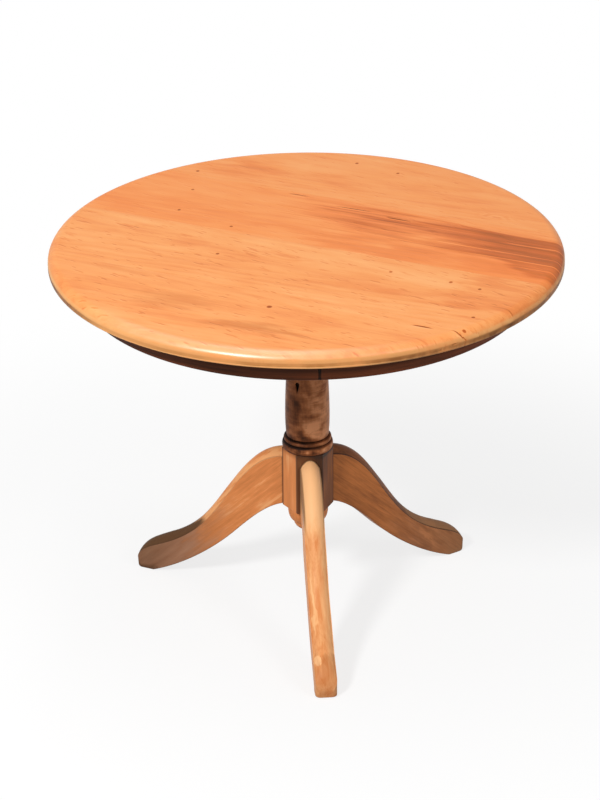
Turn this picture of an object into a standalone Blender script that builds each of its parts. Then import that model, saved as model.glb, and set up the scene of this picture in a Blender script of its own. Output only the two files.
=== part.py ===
"""Round pedestal dining table in old pine.

A boarded round top with an apron ring stands on a turned column, and three sabre legs
are dowelled to a hexagonal block round the foot of the column. Metres, +Z up.
The origin is on the floor, on the axis of the column.
"""
import math

import bmesh
import bpy
from mathutils import Matrix, Vector
from mathutils.geometry import interpolate_bezier

# Clearance between pieces that touch or fit
GAP = 0.0003

# Round top of edge-joined boards
TABLE_HEIGHT = 0.745
TOP_DIAMETER = 0.940
TOP_THICKNESS = 0.028
EDGE_REACH = 0.020
EDGE_FLAT = 0.007
LOWER_ARRIS = 0.003
BOARD_COUNT = 4
BOARD_WIDTH = 0.220
BOARD_ANGLE = math.radians(-24.5)
TONGUE_THICKNESS = 0.008
TONGUE_DEPTH = 0.010

# Apron ring of curved segments, with a glue block behind each butt joint
APRON_INSET = 0.057
APRON_DEPTH = 0.048
APRON_THICKNESS = 0.022
APRON_CHAMFER = 0.002
APRON_PIECES = 6
APRON_JOINT_ANGLE = math.radians(-87.0)
GLUE_BLOCK_LENGTH = 0.060
GLUE_BLOCK_THICKNESS = 0.018
GLUE_BLOCK_DEPTH = 0.036
GLUE_BLOCK_TOE = 0.008

# Two bearers across the boards, and the block that carries them on the column
BEARER_SPACING = 0.250
BEARER_WIDTH = 0.055
BEARER_DEPTH = 0.030
BEARER_END_CLEARANCE = 0.010
BEARER_END_DEPTH = 0.014
BEARER_TAPER = 0.040
TOP_BLOCK_WIDTH = 0.160
TOP_BLOCK_OVERHANG = 0.014
TOP_BLOCK_THICKNESS = 0.042
TOP_BLOCK_CHAMFER = 0.010

# Countersunk wood screws; the cover is the wood left over a screw's point
SCREW_HEAD_DIAMETER = 0.011
SCREW_HEAD_DEPTH = 0.004
SCREW_SHANK_DIAMETER = 0.006
SCREW_TIP = 0.006
SCREW_HEAD_SINK = 0.0005
SCREW_COVER = 0.012
BLOCK_SCREW_EDGE = 0.035

# Turned column, with a wedge in its top tenon; the wedge wall is the tenon left beside the wedge
TOP_TENON_DIAMETER = 0.044
FOOT_TENON_DIAMETER = 0.034
WEDGE_LENGTH = 0.034
WEDGE_WALL = 0.004
WEDGE_HEAD = 0.004
WEDGE_POINT = 0.0012
SHOULDER_RADIUS = 0.042
SHOULDER_HEIGHT = 0.014
SHOULDER_FLAT = 0.007
NECK_RADIUS = 0.031
NECK_BEAD_HEIGHT = 0.012
NECK_BEAD_SWELL = 0.005
SHAFT_FOOT_RADIUS = 0.040
SHAFT_SWELL = 0.0055
SHAFT_SWELL_RISE = 0.043
SHAFT_TAPER_DROP = 0.086
SHAFT_FOOT_ROUND = 0.004
UPPER_RING_RADIUS = 0.045
UPPER_RING_HEIGHT = 0.009
LOWER_RING_RADIUS = 0.048
LOWER_RING_HEIGHT = 0.016
RING_SWELL = 0.004

# Hexagonal leg block and the turned drop under it
BLOCK_ACROSS_FLATS = 0.084
BLOCK_HEAD_MARGIN = 0.009
BLOCK_ARRIS = 0.0015
SPIGOT_DIAMETER = 0.020
SPIGOT_LENGTH = 0.030
DROP_RADIUS = 0.038
DROP_BEAD_HEIGHT = 0.030
DROP_BEAD_FLAT = 0.0075
DROP_GROOVE_RADIUS = 0.027
DROP_GROOVE_HEIGHT = 0.003
DROP_DOME_HEIGHT = 0.018

# Three sabre legs, named in turn round the column from the front one
LEG_NAMES = ("front", "right", "left")
FRONT_LEG_ANGLE = math.radians(-85.0)
LEG_REACH = 0.322
LEG_HEAD_TOP = 0.309
LEG_HEAD_BOTTOM = 0.210
LEG_HEAD_THICKNESS = 0.037
LEG_TOE_THICKNESS = 0.041
LEG_CROWN = 0.015
LEG_TOE_CROWN = 0.018
LEG_TIP_CROWN = 0.003
LEG_CROWN_POWER = 2.2
LEG_ARRIS = 0.003
# Bezier points of the leg's side view, as (share of the reach, share of the head's height)
LEG_TOP_SHARES = (
    ((0.000, 1.000), (0.179, 0.971), (0.282, 0.793), (0.381, 0.638)),
    ((0.381, 0.638), (0.499, 0.453), (0.602, 0.317), (0.807, 0.215)),
    ((0.807, 0.215), (0.887, 0.175), (0.987, 0.136), (1.000, 0.055)),
)
LEG_UNDER_SHARES = (
    ((0.000, 1.000), (0.117, 0.948), (0.241, 0.741), (0.335, 0.591)),
    ((0.335, 0.591), (0.474, 0.367), (0.682, 0.124), (0.887, 0.000)),
    ((0.887, 0.000), (0.913, 0.000), (0.939, 0.000), (0.965, 0.000)),
)

# Dowels between the legs and their block
DOWEL_DIAMETER = 0.012
DOWEL_IN_LEG = 0.038
DOWEL_EDGE = 0.026
DOWEL_END_WALL = 0.004
DOWEL_CHAMFER = 0.0015

# Facets
TOP_STEPS = 120
EDGE_STEPS = 6
ARRIS_STEPS = 2
APRON_STEPS = 14
GLUE_BLOCK_STEPS = 2
COLUMN_STEPS = 32
SHAFT_STEPS = 12
FOOT_ROUND_STEPS = 3
BEAD_STEPS = 5
DOWEL_STEPS = 12
SCREW_STEPS = 8
CROWN_STEPS = 8
LEG_CURVE_STEPS = (13, 13, 8)
SMOOTH_ANGLE = math.radians(35.0)
FLAT_ANGLE = math.radians(0.1)
MERGE_DISTANCE = 1e-6

# Sizes that follow from those above
TOP_RADIUS = TOP_DIAMETER / 2
TOP_UNDERSIDE = TABLE_HEIGHT - TOP_THICKNESS
APRON_TOP = TOP_UNDERSIDE - GAP
APRON_OUTER = TOP_RADIUS - APRON_INSET
APRON_INNER = APRON_OUTER - APRON_THICKNESS
GLUE_BLOCK_OUTER = APRON_INNER - GAP
GLUE_BLOCK_INNER = GLUE_BLOCK_OUTER - GLUE_BLOCK_THICKNESS
BEARER_TOP = TOP_UNDERSIDE - GAP
BEARER_BOTTOM = BEARER_TOP - BEARER_DEPTH
BEARER_CORNER = BEARER_SPACING / 2 + BEARER_WIDTH / 2
BEARER_HALF = math.sqrt((GLUE_BLOCK_INNER - BEARER_END_CLEARANCE) ** 2 - BEARER_CORNER ** 2)
BEARER_FLAT = BEARER_HALF - BEARER_TAPER
TOP_BLOCK_TOP = BEARER_BOTTOM - GAP
TOP_BLOCK_BOTTOM = TOP_BLOCK_TOP - TOP_BLOCK_THICKNESS
TOP_BLOCK_LENGTH = BEARER_SPACING + BEARER_WIDTH + 2 * TOP_BLOCK_OVERHANG
BEARER_SCREW_LENGTH = BEARER_DEPTH + TOP_THICKNESS - SCREW_COVER
BLOCK_SCREW_LENGTH = TOP_BLOCK_THICKNESS + BEARER_DEPTH - SCREW_COVER
WEDGE_WIDTH = TOP_TENON_DIAMETER - 2 * WEDGE_WALL
LEG_COUNT = len(LEG_NAMES)
BLOCK_BOTTOM = LEG_HEAD_BOTTOM
BLOCK_TOP = LEG_HEAD_TOP + LEG_CROWN + BLOCK_HEAD_MARGIN
BLOCK_APOTHEM = BLOCK_ACROSS_FLATS / 2
FOOT_BORE_RADIUS = FOOT_TENON_DIAMETER / 2 + GAP
COLUMN_FOOT = BLOCK_TOP + GAP
COLUMN_SHOULDER = TOP_BLOCK_BOTTOM - GAP
LEG_FACE = BLOCK_APOTHEM + GAP
DOWEL_IN_BLOCK = BLOCK_APOTHEM - FOOT_BORE_RADIUS - DOWEL_END_WALL
DOWEL_LENGTH = DOWEL_IN_BLOCK + GAP + DOWEL_IN_LEG
DOWEL_HEIGHTS = (LEG_HEAD_BOTTOM + DOWEL_EDGE, LEG_HEAD_TOP - DOWEL_EDGE)

# Colour, roughness and metallic value of each kind of piece
FINISHES = {
    "top": ((0.80, 0.42, 0.17), 0.30, 0.0),
    "apron": ((0.16, 0.07, 0.04), 0.45, 0.0),
    "column": ((0.20, 0.085, 0.04), 0.40, 0.0),
    "leg": ((0.66, 0.30, 0.11), 0.35, 0.0),
    "raw_pine": ((0.62, 0.42, 0.22), 0.70, 0.0),
    "dowel": ((0.66, 0.48, 0.29), 0.65, 0.0),
    "screw": ((0.35, 0.34, 0.33), 0.40, 1.0),
}


def clear_scene():
    for obj in list(bpy.data.objects):
        bpy.data.objects.remove(obj, do_unlink=True)


def add_empty(name, parent=None, rotation=0.0):
    empty = bpy.data.objects.new(name, None)
    empty.rotation_euler.z = rotation
    empty.parent = parent
    bpy.context.collection.objects.link(empty)
    return empty


def finish_material(name, kind):
    colour, roughness, metallic = FINISHES[kind]
    material = bpy.data.materials.new(name)
    material.use_nodes = True
    shader = material.node_tree.nodes["Principled BSDF"]
    shader.inputs["Base Color"].default_value = (*colour, 1.0)
    shader.inputs["Roughness"].default_value = roughness
    shader.inputs["Metallic"].default_value = metallic
    return material


def mesh_from(name, bm):
    """Turn a bmesh into a mesh with its faces pointing out and its round faces smooth."""
    bmesh.ops.recalc_face_normals(bm, faces=bm.faces)
    mesh = bpy.data.meshes.new(name)
    bm.to_mesh(mesh)
    bm.free()
    mesh.shade_smooth()
    mesh.set_sharp_from_angle(angle=SMOOTH_ANGLE)
    return mesh


def add_piece(name, mesh, kind, parent, rotation=0.0, location=(0, 0, 0)):
    """Add one named piece. Repeated pieces share a shape but each has its own material."""
    obj = bpy.data.objects.new(name, mesh.copy())
    obj.data.materials.clear()
    obj.data.materials.append(finish_material(name, kind))
    obj.location = location
    obj.rotation_euler.z = rotation
    obj.parent = parent
    bpy.context.collection.objects.link(obj)
    return obj


def boolean(mesh, tool, operation):
    """Return mesh cut by, or kept inside, the tool mesh."""
    target = bpy.data.objects.new("target", mesh)
    cutter = bpy.data.objects.new("cutter", tool)
    for obj in (target, cutter):
        bpy.context.collection.objects.link(obj)
    modifier = target.modifiers.new(operation, "BOOLEAN")
    modifier.operation = operation
    modifier.object = cutter
    modifier.solver = "EXACT"
    depsgraph = bpy.context.evaluated_depsgraph_get()
    result = bpy.data.meshes.new_from_object(target.evaluated_get(depsgraph))
    bpy.data.objects.remove(target, do_unlink=True)
    bpy.data.objects.remove(cutter, do_unlink=True)
    result.shade_smooth()
    result.set_sharp_from_angle(angle=SMOOTH_ANGLE)
    return result


def loft(rings):
    """Skin a row of rings of points into a closed solid."""
    bm = bmesh.new()
    loops = [[bm.verts.new(point) for point in ring] for ring in rings]
    count = len(loops[0])
    for near, far in zip(loops, loops[1:]):
        for i in range(count):
            j = (i + 1) % count
            bm.faces.new((near[i], near[j], far[j], far[i]))
    bm.faces.new(loops[0])
    bm.faces.new(loops[-1])
    return bm


def turned(profile, steps):
    """Spin (radius, height) points round Z; the first and last point lie on the axis."""
    bm = bmesh.new()
    verts = [bm.verts.new((radius, 0.0, height)) for radius, height in profile]
    edges = [bm.edges.new(pair) for pair in zip(verts, verts[1:])]
    bmesh.ops.spin(bm, geom=verts + edges, cent=(0, 0, 0), axis=(0, 0, 1),
                   angle=2 * math.pi, steps=steps, use_merge=True)
    bmesh.ops.remove_doubles(bm, verts=bm.verts, dist=MERGE_DISTANCE)
    bmesh.ops.dissolve_limit(bm, angle_limit=FLAT_ANGLE, verts=bm.verts, edges=bm.edges)
    return bm


def sector(section, half_angle, steps):
    """Sweep a closed (radius, height) section along an arc centred on +X."""
    rings = []
    for i in range(steps + 1):
        angle = half_angle * (2 * i / steps - 1)
        rings.append([(r * math.cos(angle), r * math.sin(angle), z) for r, z in section])
    return loft(rings)


def cylinder(radius, low, high, steps):
    return turned(((0, low), (radius, low), (radius, high), (0, high)), steps)


def gather(pieces):
    """Join (bmesh, matrix) pairs into one bmesh of separate solids."""
    joined = bmesh.new()
    for bm, matrix in pieces:
        part = bpy.data.meshes.new("part")
        bmesh.ops.recalc_face_normals(bm, faces=bm.faces)
        bmesh.ops.transform(bm, matrix=matrix, verts=bm.verts)
        bm.to_mesh(part)
        bm.free()
        joined.from_mesh(part)
        bpy.data.meshes.remove(part)
    return joined


def bead(radius, low, high, swell, steps=BEAD_STEPS):
    """Half-round moulding on a turned profile, from low to high."""
    points = []
    for i in range(steps + 1):
        angle = math.pi * i / steps
        height = low + (high - low) * (1 - math.cos(angle)) / 2
        points.append((radius - swell + swell * math.sin(angle), height))
    return points


def quarter(centre_radius, centre_height, width, height, start, end, steps):
    """Elliptic arc on a turned profile; angles run from straight out towards straight up."""
    points = []
    for i in range(steps + 1):
        angle = start + (end - start) * i / steps
        points.append((centre_radius + width * math.cos(angle),
                       centre_height + height * math.sin(angle)))
    return points


def screw(length):
    """Countersunk screw standing on its head at height 0."""
    head = SCREW_HEAD_DIAMETER / 2
    shank = SCREW_SHANK_DIAMETER / 2
    profile = ((0, 0), (head, 0), (shank, SCREW_HEAD_DEPTH), (shank, length - SCREW_TIP), (0, length))
    return turned(profile, SCREW_STEPS)


def screw_hole(length):
    """Cutter for a screw's countersunk hole, long enough below the head to open the face."""
    head = SCREW_HEAD_DIAMETER / 2 + GAP
    shank = SCREW_SHANK_DIAMETER / 2 + GAP
    mouth = -SCREW_HEAD_SINK - SCREW_HEAD_DEPTH
    profile = ((0, mouth), (head, mouth), (head, 0), (shank, SCREW_HEAD_DEPTH),
               (shank, length - SCREW_TIP), (0, length + GAP))
    return turned(profile, SCREW_STEPS)


def screw_holes(places, length):
    return gather((screw_hole(length), Matrix.Translation(place)) for place in places)


def add_screws(name, places, length, parent):
    mesh = mesh_from(name, screw(length))
    for i, place in enumerate(places):
        add_piece(f"{name}_{i + 1}", mesh, "screw", parent, location=place)


# Screw places, in the frame of the boards: X along the boards and Y across them

def bearer_sides():
    return (-BEARER_SPACING / 2, BEARER_SPACING / 2)


def seams():
    """Places of the joints between boards, across the boards."""
    return [(i - BOARD_COUNT / 2) * BOARD_WIDTH for i in range(1, BOARD_COUNT)]


def bearer_screw_rows():
    """One screw in the middle of each board's share of the bearer's flat, where a head has room."""
    reach = BEARER_FLAT - SCREW_HEAD_DIAMETER
    crossed = [seam for seam in seams() if abs(seam) < reach]
    edges = [-BEARER_FLAT] + crossed + [BEARER_FLAT]
    return [(low + high) / 2 for low, high in zip(edges, edges[1:])]


def bearer_screw_places():
    height = BEARER_BOTTOM + SCREW_HEAD_SINK
    return [(x, y, height) for x in bearer_sides() for y in bearer_screw_rows()]


def block_screw_places():
    height = TOP_BLOCK_BOTTOM + SCREW_HEAD_SINK
    row = TOP_BLOCK_WIDTH / 2 - BLOCK_SCREW_EDGE
    rows = (-row, row)
    return [(x, y, height) for x in bearer_sides() for y in rows]


def bearer_screw_holes():
    return screw_holes(bearer_screw_places(), BEARER_SCREW_LENGTH)


def block_screw_holes():
    return screw_holes(block_screw_places(), BLOCK_SCREW_LENGTH)


# Top

def top_disc():
    """The whole round top with its rounded edge, before it is divided into boards."""
    arris_centre = TOP_RADIUS - LOWER_ARRIS
    round_centre = TOP_RADIUS - EDGE_REACH
    round_low = TOP_UNDERSIDE + LOWER_ARRIS + EDGE_FLAT
    profile = [(0, TOP_UNDERSIDE)]
    profile += quarter(arris_centre, TOP_UNDERSIDE + LOWER_ARRIS, LOWER_ARRIS, LOWER_ARRIS,
                       -math.pi / 2, 0, ARRIS_STEPS)
    profile += quarter(round_centre, round_low, EDGE_REACH, TABLE_HEIGHT - round_low,
                       0, math.pi / 2, EDGE_STEPS)
    profile.append((0, TABLE_HEIGHT))
    return turned(profile, TOP_STEPS)


def board_section(low, high, grooved, tongued):
    """Outline of a board's end as (across, height), with a groove at low and a tongue at high."""
    bottom = TOP_UNDERSIDE - TOP_THICKNESS
    top = TABLE_HEIGHT + TOP_THICKNESS
    middle = TOP_UNDERSIDE + TOP_THICKNESS / 2
    half = TONGUE_THICKNESS / 2
    outline = [(high, bottom)]
    if tongued:
        tip = high + TONGUE_DEPTH
        outline += [(high, middle - half), (tip, middle - half), (tip, middle + half), (high, middle + half)]
    outline += [(high, top), (low, top)]
    if grooved:
        root = low + TONGUE_DEPTH + GAP
        half += GAP
        outline += [(low, middle + half), (root, middle + half), (root, middle - half), (low, middle - half)]
    outline.append((low, bottom))
    return outline


def add_boards(frame):
    disc = mesh_from("disc", top_disc())
    holes = mesh_from("holes", bearer_screw_holes())
    edges = [-TOP_DIAMETER] + seams() + [TOP_DIAMETER]
    for i in range(BOARD_COUNT):
        first = i == 0
        last = i == BOARD_COUNT - 1
        section = board_section(edges[i] + GAP / 2, edges[i + 1] - GAP / 2, not first, not last)
        blank = loft([[(x, y, z) for y, z in section] for x in (-TOP_DIAMETER, TOP_DIAMETER)])
        board = boolean(disc.copy(), mesh_from("blank", blank), "INTERSECT")
        board = boolean(board, holes.copy(), "DIFFERENCE")
        add_piece(f"top_board_{i + 1}", board, "top", frame)


def add_apron(root):
    low = APRON_TOP - APRON_DEPTH
    section = ((APRON_INNER, low), (APRON_OUTER - APRON_CHAMFER, low),
               (APRON_OUTER, low + APRON_CHAMFER), (APRON_OUTER, APRON_TOP), (APRON_INNER, APRON_TOP))
    pitch = 2 * math.pi / APRON_PIECES
    half_angle = pitch / 2 - GAP / 2 / APRON_INNER
    segment = mesh_from("segment", sector(section, half_angle, APRON_STEPS))
    toe = GLUE_BLOCK_OUTER - GLUE_BLOCK_TOE
    glue_section = ((GLUE_BLOCK_OUTER, APRON_TOP), (GLUE_BLOCK_OUTER, APRON_TOP - GLUE_BLOCK_DEPTH),
                    (toe, APRON_TOP - GLUE_BLOCK_DEPTH),
                    (GLUE_BLOCK_INNER, APRON_TOP - GLUE_BLOCK_TOE), (GLUE_BLOCK_INNER, APRON_TOP))
    glue_angle = GLUE_BLOCK_LENGTH / 2 / GLUE_BLOCK_OUTER
    glue_block = mesh_from("glue_block", sector(glue_section, glue_angle, GLUE_BLOCK_STEPS))
    for i in range(APRON_PIECES):
        joint = APRON_JOINT_ANGLE + i * pitch
        add_piece(f"apron_segment_{i + 1}", segment, "apron", root, joint + pitch / 2)
        add_piece(f"apron_glue_block_{i + 1}", glue_block, "raw_pine", root, joint)


# Bearers and top block

def add_bearers(frame):
    holes = gather(((bearer_screw_holes(), Matrix()), (block_screw_holes(), Matrix())))
    hole_mesh = mesh_from("holes", holes)
    end_low = BEARER_TOP - BEARER_END_DEPTH
    outline = ((-BEARER_HALF, BEARER_TOP), (-BEARER_HALF, end_low), (-BEARER_FLAT, BEARER_BOTTOM),
               (BEARER_FLAT, BEARER_BOTTOM), (BEARER_HALF, end_low), (BEARER_HALF, BEARER_TOP))
    for name, side in zip(("left_bearer", "right_bearer"), bearer_sides()):
        faces = (side - BEARER_WIDTH / 2, side + BEARER_WIDTH / 2)
        bar = loft([[(x, y, z) for y, z in outline] for x in faces])
        bearer = boolean(mesh_from(name, bar), hole_mesh.copy(), "DIFFERENCE")
        add_piece(name, bearer, "raw_pine", frame)
    add_screws("bearer_screw", bearer_screw_places(), BEARER_SCREW_LENGTH, frame)


def add_top_block(frame):
    half_length = TOP_BLOCK_LENGTH / 2
    half_width = TOP_BLOCK_WIDTH / 2
    cut_length = half_length - TOP_BLOCK_CHAMFER
    cut_width = half_width - TOP_BLOCK_CHAMFER
    outline = [(half_length, -cut_width), (half_length, cut_width), (cut_length, half_width),
               (-cut_length, half_width), (-half_length, cut_width), (-half_length, -cut_width),
               (-cut_length, -half_width), (cut_length, -half_width)]
    slab = loft([[(x, y, z) for x, y in outline] for z in (TOP_BLOCK_BOTTOM, TOP_BLOCK_TOP)])
    bore = cylinder(TOP_TENON_DIAMETER / 2 + GAP, TOP_BLOCK_BOTTOM - TOP_BLOCK_THICKNESS,
                    TOP_BLOCK_TOP + TOP_BLOCK_THICKNESS, COLUMN_STEPS)
    holes = gather(((bore, Matrix()), (block_screw_holes(), Matrix())))
    block = boolean(mesh_from("slab", slab), mesh_from("holes", holes), "DIFFERENCE")
    add_piece("top_block", block, "raw_pine", frame)
    add_screws("top_block_screw", block_screw_places(), BLOCK_SCREW_LENGTH, frame)


# Column

def shaft_profile(low, high):
    """Gun-barrel shaft: swells just above its foot, then tapers to the neck."""
    knots = (Vector((SHAFT_FOOT_RADIUS, low)),
             Vector((SHAFT_FOOT_RADIUS + SHAFT_SWELL, low + SHAFT_SWELL_RISE)),
             Vector((NECK_RADIUS + SHAFT_SWELL, high - SHAFT_TAPER_DROP)),
             Vector((NECK_RADIUS, high)))
    return [tuple(point) for point in interpolate_bezier(*knots, SHAFT_STEPS)]


def column_profile():
    spigot = SPIGOT_DIAMETER / 2 + GAP
    tenon_end = BLOCK_BOTTOM + GAP
    socket_end = tenon_end + SPIGOT_LENGTH
    foot_tenon = FOOT_TENON_DIAMETER / 2
    top_tenon = TOP_TENON_DIAMETER / 2
    lower_ring_top = COLUMN_FOOT + LOWER_RING_HEIGHT
    upper_ring_top = lower_ring_top + UPPER_RING_HEIGHT
    shaft_low = upper_ring_top + SHAFT_FOOT_ROUND
    shoulder_low = COLUMN_SHOULDER - SHOULDER_HEIGHT
    shaft_high = shoulder_low - NECK_BEAD_HEIGHT
    profile = [(0, socket_end), (spigot, socket_end), (spigot, tenon_end), (foot_tenon, tenon_end),
               (foot_tenon, COLUMN_FOOT)]
    profile += bead(LOWER_RING_RADIUS, COLUMN_FOOT, lower_ring_top, RING_SWELL)
    profile += bead(UPPER_RING_RADIUS, lower_ring_top, upper_ring_top, RING_SWELL)[1:]
    profile += quarter(SHAFT_FOOT_RADIUS - SHAFT_FOOT_ROUND, shaft_low, SHAFT_FOOT_ROUND,
                       SHAFT_FOOT_ROUND, -math.pi / 2, 0, FOOT_ROUND_STEPS)
    profile += shaft_profile(shaft_low, shaft_high)[1:]
    profile += bead(NECK_RADIUS + NECK_BEAD_SWELL, shaft_high, shoulder_low, NECK_BEAD_SWELL)[1:]
    profile += [(SHOULDER_RADIUS, COLUMN_SHOULDER - SHOULDER_FLAT), (SHOULDER_RADIUS, COLUMN_SHOULDER),
                (top_tenon, COLUMN_SHOULDER), (top_tenon, TOP_BLOCK_TOP), (0, TOP_BLOCK_TOP)]
    return profile


def wedge(extra=0.0):
    """Wedge driven into the end of the top tenon, across the grain of the top block."""
    half_width = WEDGE_WIDTH / 2 + extra
    head = WEDGE_HEAD / 2 + extra
    point = WEDGE_POINT / 2 + extra
    low = TOP_BLOCK_TOP - WEDGE_LENGTH - extra
    high = TOP_BLOCK_TOP + extra
    return loft([[(point, y, low), (head, y, high), (-head, y, high), (-point, y, low)]
                 for y in (-half_width, half_width)])


def add_column(root, frame):
    column = mesh_from("column", turned(column_profile(), COLUMN_STEPS))
    slot = wedge(GAP)
    bmesh.ops.transform(slot, matrix=Matrix.Rotation(BOARD_ANGLE, 4, "Z"), verts=slot.verts)
    column = boolean(column, mesh_from("slot", slot), "DIFFERENCE")
    add_piece("column", column, "column", root)
    add_piece("tenon_wedge", mesh_from("wedge", wedge()), "dowel", frame)


# Leg block, drop and legs

def leg_angles():
    return [FRONT_LEG_ANGLE + i * 2 * math.pi / LEG_COUNT for i in range(LEG_COUNT)]


def dowel_profile(length, extra=0.0):
    radius = DOWEL_DIAMETER / 2 + extra
    cut = DOWEL_CHAMFER
    end = length + extra
    return ((0, -extra), (radius - cut, -extra), (radius, cut - extra), (radius, end - cut),
            (radius - cut, end), (0, end))


def dowel(extra=0.0):
    """A dowel lying along +X, with its inner end at the origin."""
    bm = turned(dowel_profile(DOWEL_LENGTH, extra), DOWEL_STEPS)
    bmesh.ops.transform(bm, matrix=Matrix.Rotation(math.pi / 2, 4, "Y"), verts=bm.verts)
    return bm


def dowel_places():
    """Inner ends of the dowels of the leg that points along +X."""
    return [(BLOCK_APOTHEM - DOWEL_IN_BLOCK, 0, height) for height in DOWEL_HEIGHTS]


def dowel_holes():
    return gather((dowel(GAP), Matrix.Translation(place)) for place in dowel_places())


def add_leg_block(root):
    sides = 2 * LEG_COUNT
    corner = BLOCK_APOTHEM / math.cos(math.pi / sides)
    rings = []
    for inset, height in ((BLOCK_ARRIS, BLOCK_BOTTOM), (0, BLOCK_BOTTOM + BLOCK_ARRIS), (0, BLOCK_TOP)):
        angles = [math.pi / sides * (2 * i + 1) for i in range(sides)]
        rings.append([((corner - inset) * math.cos(a), (corner - inset) * math.sin(a), height)
                      for a in angles])
    bore = cylinder(FOOT_BORE_RADIUS, BLOCK_BOTTOM - BLOCK_HEAD_MARGIN, BLOCK_TOP + BLOCK_HEAD_MARGIN,
                    COLUMN_STEPS)
    tools = [(bore, Matrix())]
    for angle in leg_angles():
        tools.append((dowel_holes(), Matrix.Rotation(angle - FRONT_LEG_ANGLE, 4, "Z")))
    block = boolean(mesh_from("prism", loft(rings)), mesh_from("holes", gather(tools)), "DIFFERENCE")
    add_piece("leg_block", block, "leg", root, FRONT_LEG_ANGLE)


def add_drop(root):
    """Turned drop that hides the end of the foot tenon and plugs into it."""
    seat = BLOCK_BOTTOM - GAP
    spigot = SPIGOT_DIAMETER / 2
    spigot_top = BLOCK_BOTTOM + SPIGOT_LENGTH
    bead_low = seat - DROP_BEAD_HEIGHT
    dome_top = bead_low - DROP_GROOVE_HEIGHT
    profile = quarter(0, dome_top, DROP_GROOVE_RADIUS, DROP_DOME_HEIGHT, -math.pi / 2, 0, BEAD_STEPS)
    profile += [(DROP_GROOVE_RADIUS, bead_low)]
    profile += quarter(DROP_GROOVE_RADIUS, seat - DROP_BEAD_FLAT, DROP_RADIUS - DROP_GROOVE_RADIUS,
                       DROP_BEAD_HEIGHT - DROP_BEAD_FLAT, -math.pi / 2, 0, BEAD_STEPS)[1:]
    profile += [(DROP_RADIUS, seat), (spigot, seat), (spigot, spigot_top), (0, spigot_top)]
    add_piece("turned_drop", mesh_from("drop", turned(profile, COLUMN_STEPS)), "leg", root)


def leg_curve(shares, head_height):
    """Points along a leg's edge as (radius, height)."""
    points = []
    for knots, steps in zip(shares, LEG_CURVE_STEPS):
        places = [Vector((LEG_FACE + u * LEG_REACH, v * head_height)) for u, v in knots]
        stretch = interpolate_bezier(*places, steps + 1)
        points += stretch if not points else stretch[1:]
    return points


def leg_section(thickness, depth, crown):
    """Outline across the leg as (sideways, up): flat sides, eased lower arrises, crowned top."""
    half = thickness / 2
    right = [(half - LEG_ARRIS, 0.0), (half, LEG_ARRIS), (half, depth)]
    arch = []
    for i in range(1, CROWN_STEPS):
        share = 1 - 2 * i / CROWN_STEPS
        arch.append((half * share, depth + crown * (1 - abs(share) ** LEG_CROWN_POWER)))
    left = [(-x, y) for x, y in reversed(right)]
    return right + arch + left


def leg_crown(step, toe_start, last):
    """Rise of the crown: it swells a little down to the toe and dies away over it."""
    if step <= toe_start:
        return LEG_CROWN + (LEG_TOE_CROWN - LEG_CROWN) * step / toe_start
    return LEG_TOE_CROWN + (LEG_TIP_CROWN - LEG_TOE_CROWN) * (step - toe_start) / (last - toe_start)


def leg_body():
    top = leg_curve(LEG_TOP_SHARES, LEG_HEAD_TOP)
    under = leg_curve(LEG_UNDER_SHARES, LEG_HEAD_BOTTOM)
    last = len(top) - 1
    toe_start = last - LEG_CURVE_STEPS[-1]
    rings = []
    for i, (upper, lower) in enumerate(zip(top, under)):
        share = i / last
        thickness = LEG_HEAD_THICKNESS + (LEG_TOE_THICKNESS - LEG_HEAD_THICKNESS) * share
        crown = leg_crown(i, toe_start, last)
        rise = upper - lower
        depth = rise.length
        up = rise / depth
        ring = []
        for side, height in leg_section(thickness, depth, crown):
            place = lower + up * height
            ring.append((place.x, side, place.y))
        rings.append(ring)
    return loft(rings)


def add_legs(root):
    leg = boolean(mesh_from("leg", leg_body()), mesh_from("holes", dowel_holes()), "DIFFERENCE")
    pin = mesh_from("dowel", dowel())
    for name, angle in zip(LEG_NAMES, leg_angles()):
        frame = add_empty(f"{name}_leg_frame", root, angle)
        add_piece(f"{name}_leg", leg, "leg", frame)
        for level, place in zip(("lower", "upper"), dowel_places()):
            add_piece(f"{name}_leg_{level}_dowel", pin, "dowel", frame, location=place)


def main():
    clear_scene()
    root = add_empty("dining_table")
    board_frame = add_empty("board_frame", root, BOARD_ANGLE)
    add_boards(board_frame)
    add_apron(root)
    add_bearers(board_frame)
    add_top_block(board_frame)
    add_column(root, board_frame)
    add_leg_block(root)
    add_drop(root)
    add_legs(root)


main()
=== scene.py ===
from math import cos, pi, radians, sin, sqrt

import bmesh
import bpy
from mathutils import Matrix, Vector, noise
from mathutils.geometry import interpolate_bezier


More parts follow.
